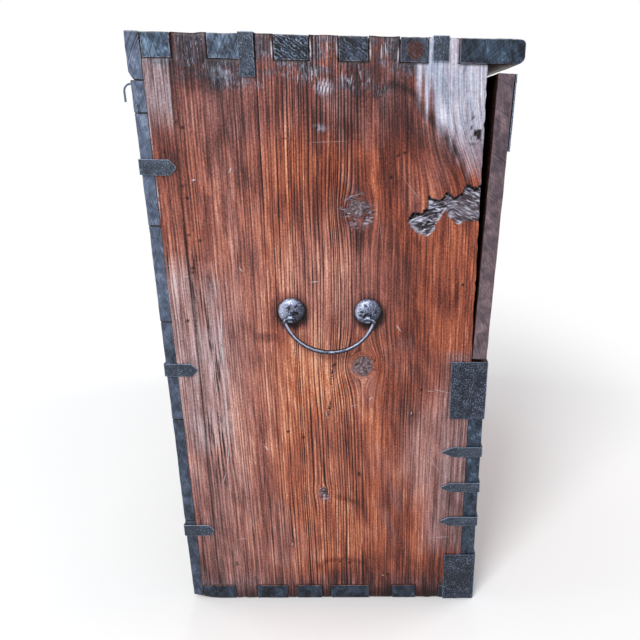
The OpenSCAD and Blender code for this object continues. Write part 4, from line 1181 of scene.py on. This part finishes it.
def set_nails(node, name, body):
    """One piece with a forged head on every nail of a CAD node."""
    head = dome("nail_head", 10, 3.4, [(1.0, 0.5), (0.86, 1.15), (0.55, 1.75), (0.2, 1.95)])
    copies = []
    for number, (seat, axis) in enumerate(nail_places(node)):
        copy = put("nail", head.data.copy())
        turn = Vector(axis).to_track_quat("Z", "Y").to_matrix().to_4x4()
        spin = Matrix.Rotation(number * 1.9, 4, "Z")
        grow = Matrix.Diagonal((0.9 + 0.16 * (number % 3) / 2, 0.92 + 0.12 * (number % 4) / 3, 0.8, 1))
        copy.data.transform(Matrix.Translation(Vector(seat) - Vector(axis) * 0.2 * MM) @ turn @ spin @ grow)
        copies.append(copy)
    bpy.data.objects.remove(head)
    only(copies[0])
    for copy in copies:
        copy.select_set(True)
    bpy.ops.object.join()
    print(name, len(copies), "nails")
    return dress(copies[0], name, IRON, body, "forged_iron", node)


set_nails("case_nails", "case_nail_heads", "case")
set_nails("flap_nails", "flap_nail_heads", "flap")

# %% [markdown]
# Each handle hangs from two domed rosettes. A dome is a disc raised by insets, and a round punch
# has left uneven hollows in it, which are moves of its vertices. A cut with a sphere would leave
# sharp rims, and these are soft. The hollows and the rim are darker, with a painted highlight at
# the upper left and painted shade at the lower right.

# %% Rosettes
HANDLE_Y = -6.5
ROSETTES_APART = 103.5
ROSETTE_R = 18.6
ROSETTE_Z = 491.0
# The dome's profile, from its middle out: share of the radius, and height
PROFILE = [(0.14, 8.4), (0.26, 8.3), (0.38, 8.2), (0.5, 7.9), (0.62, 7.2), (0.74, 6.1), (0.86, 4.6),
           (0.95, 2.9), (1.0, 1.2)]
RINGS = [(1.0, 1.2)] + [(r, float(np.interp(r, *zip(*PROFILE)))) for r in np.linspace(0.97, 0.06, 27)]


def punched(p, turn):
    """How deep each place lies in eight uneven hollows, from 0 to about 1."""
    hollow = np.zeros(len(p))
    for k in range(8):
        at = math.radians(47 * k + turn + 20 * math.sin(5 * k + turn))
        along = p[:, 0] * math.cos(at) + p[:, 1] * math.sin(at) - 7.4 - 3.6 * math.sin(4.3 * k + turn)
        off = p[:, 1] * math.cos(at) - p[:, 0] * math.sin(at)
        size = 2.7 + 0.8 * math.sin(3 * k + turn)
        deep = 0.75 + 0.4 * math.sin(7 * k + turn)
        hollow = np.maximum(hollow, deep * np.exp(-(along**2 / 1.9 + off**2) / size**2))
    return hollow


def rosette(side, y, turn):
    """A rosette on an end: punched hollows, a painted highlight at upper left, painted shade at lower right."""
    obj = dome("rosette", 84, ROSETTE_R, RINGS)
    p = points_of(obj) / MM
    raised = p[:, 2] > 1.3
    hollow = punched(p, turn)
    p[:, 2] -= raised * (2.3 * hollow + 0.3 * cloud(p[:, 0] + 50, p[:, 1] + 50, 5, 5, 11))
    reach = np.hypot(p[:, 0], p[:, 1]) / ROSETTE_R
    # Painted shade at the lower right, a darker rim and darker pits, and a painted highlight at the upper left.
    painted_shadow_low_right = steps(-3, 14, -0.6 * p[:, 0] - 0.8 * p[:, 1]) * steps(0.4, 0.95, reach)
    darker_rim = 0.35 * steps(0.9, 0.99, reach)
    pits = raised * (2.2 * hollow * (0.45 + cloud(p[:, 0] + 50, p[:, 1] + 50, 2.2, 2.6, 13)) - 0.3)
    note(obj, "rubbed_and_highlight", 0.6 * steps(-6, 13, 0.75 * p[:, 0] + 0.65 * p[:, 1]) * (1 - 0.5 * darker_rim))
    note(obj, "hollow", np.clip(np.maximum.reduce([pits, 0.92 * painted_shadow_low_right, darker_rim]), 0, 0.94))
    angle = np.arctan2(p[:, 1], p[:, 0])
    rim = 1 - 0.04 * cloud(angle * 9, angle * 0, 4, 9, 12)
    x = side * (HALF_W + p[:, 2])
    move_points(obj, np.column_stack([x, y + p[:, 0] * rim * -side, ROSETTE_Z + p[:, 1] * rim]) * MM)
    return obj


for side, word in ((-1, "left"), (1, "right")):
    pair = [rosette(side, HANDLE_Y + end * ROSETTES_APART / 2, 20 + 17 * end) for end in (-1, 1)]
    only(pair[0])
    pair[1].select_set(True)
    bpy.ops.object.join()
    edit_all(pair[0])
    end_edit()
    dress(pair[0], word + "_rosettes_forged", SMOOTH_IRON, "case", "forged_iron", word + "_handle_rosettes")
    print(word, "rosettes", len(pair[0].data.polygons), "faces")

# %% [markdown]
# The bail is one bar drawn out thin at its ends, bent to a smooth bow, and hooked inwards into the
# eyes. A curve with a round section and a radius at each point gives that taper; it is then made
# a mesh and dented by hand hammering. It has painted shade above and below, and a painted
# highlight along its front.

# %% Bails
PIVOT_X, PIVOT_Z = 463.0, 484.0
BAIL_HALF = 59.75
BAIL_DROP = 48.0
SAG = BAIL_DROP - 5
BOW = (BAIL_HALF**2 + SAG**2) / (2 * SAG)
BOW_STEPS = 24


def bail_route():
    """Points of one half of the bail, out of the eye and down to its middle, with radii."""
    route = [(46.6, 0, 0.9), (47.2, 0, 2.0), (50.5, 0, 2.2), (54.5, 0.1, 2.3), (57.2, -0.4, 2.4),
             (59.2, -1.9, 2.5), (60.2, -4.2, 2.6)]
    for k in range(1, BOW_STEPS + 1):
        left = 1 - k / BOW_STEPS
        a = math.asin(BAIL_HALF / BOW) * left
        y, z = BOW * math.sin(a) + 0.4 * left, BOW - BAIL_DROP - BOW * math.cos(a)
        route.append((y, z, 3.4 - 0.75 * left**2))
    return route


def bail(side):
    """The hanging bail of one end, as a dented mesh bar."""
    half = bail_route()
    whole = half + [(-y, z, r) for y, z, r in half[-2::-1]]
    line = bpy.data.curves.new("bail", "CURVE")
    line.dimensions = "3D"
    line.bevel_depth = 1.0 * MM
    line.bevel_resolution = 4
    line.use_fill_caps = True
    spline = line.splines.new("POLY")
    spline.points.add(len(whole) - 1)
    for point, (y, z, r) in zip(spline.points, whole):
        point.co = (side * PIVOT_X * MM, (HANDLE_Y + y) * MM, (PIVOT_Z + z) * MM, 1)
        point.radius = r
    only(put("bail", line))
    bpy.ops.object.convert(target="MESH")
    obj = bpy.context.object
    edit_all(obj)
    bpy.ops.mesh.remove_doubles(threshold=0.00002)
    end_edit()
    wear(obj, 0.3, 9, 90 + side)
    # Painted shade on the bar's top and underside, and a painted highlight along its front.
    up = points_of(obj, "normal")[:, 2]
    note(obj, "hollow", 0.96 * np.maximum(steps(-0.2, 0.2, -up), steps(0.42, 0.68, up)))
    note(obj, "rubbed_and_highlight", steps(0.0, 0.2, up) * steps(0.55, 0.4, up))
    return obj


for side, word in ((-1, "left"), (1, "right")):
    piece = dress(bail(side), word + "_bail_forged", SMOOTH_IRON, word + "_bail", "forged_iron", word + "_bail")
    print(piece.name, len(piece.data.polygons), "faces")
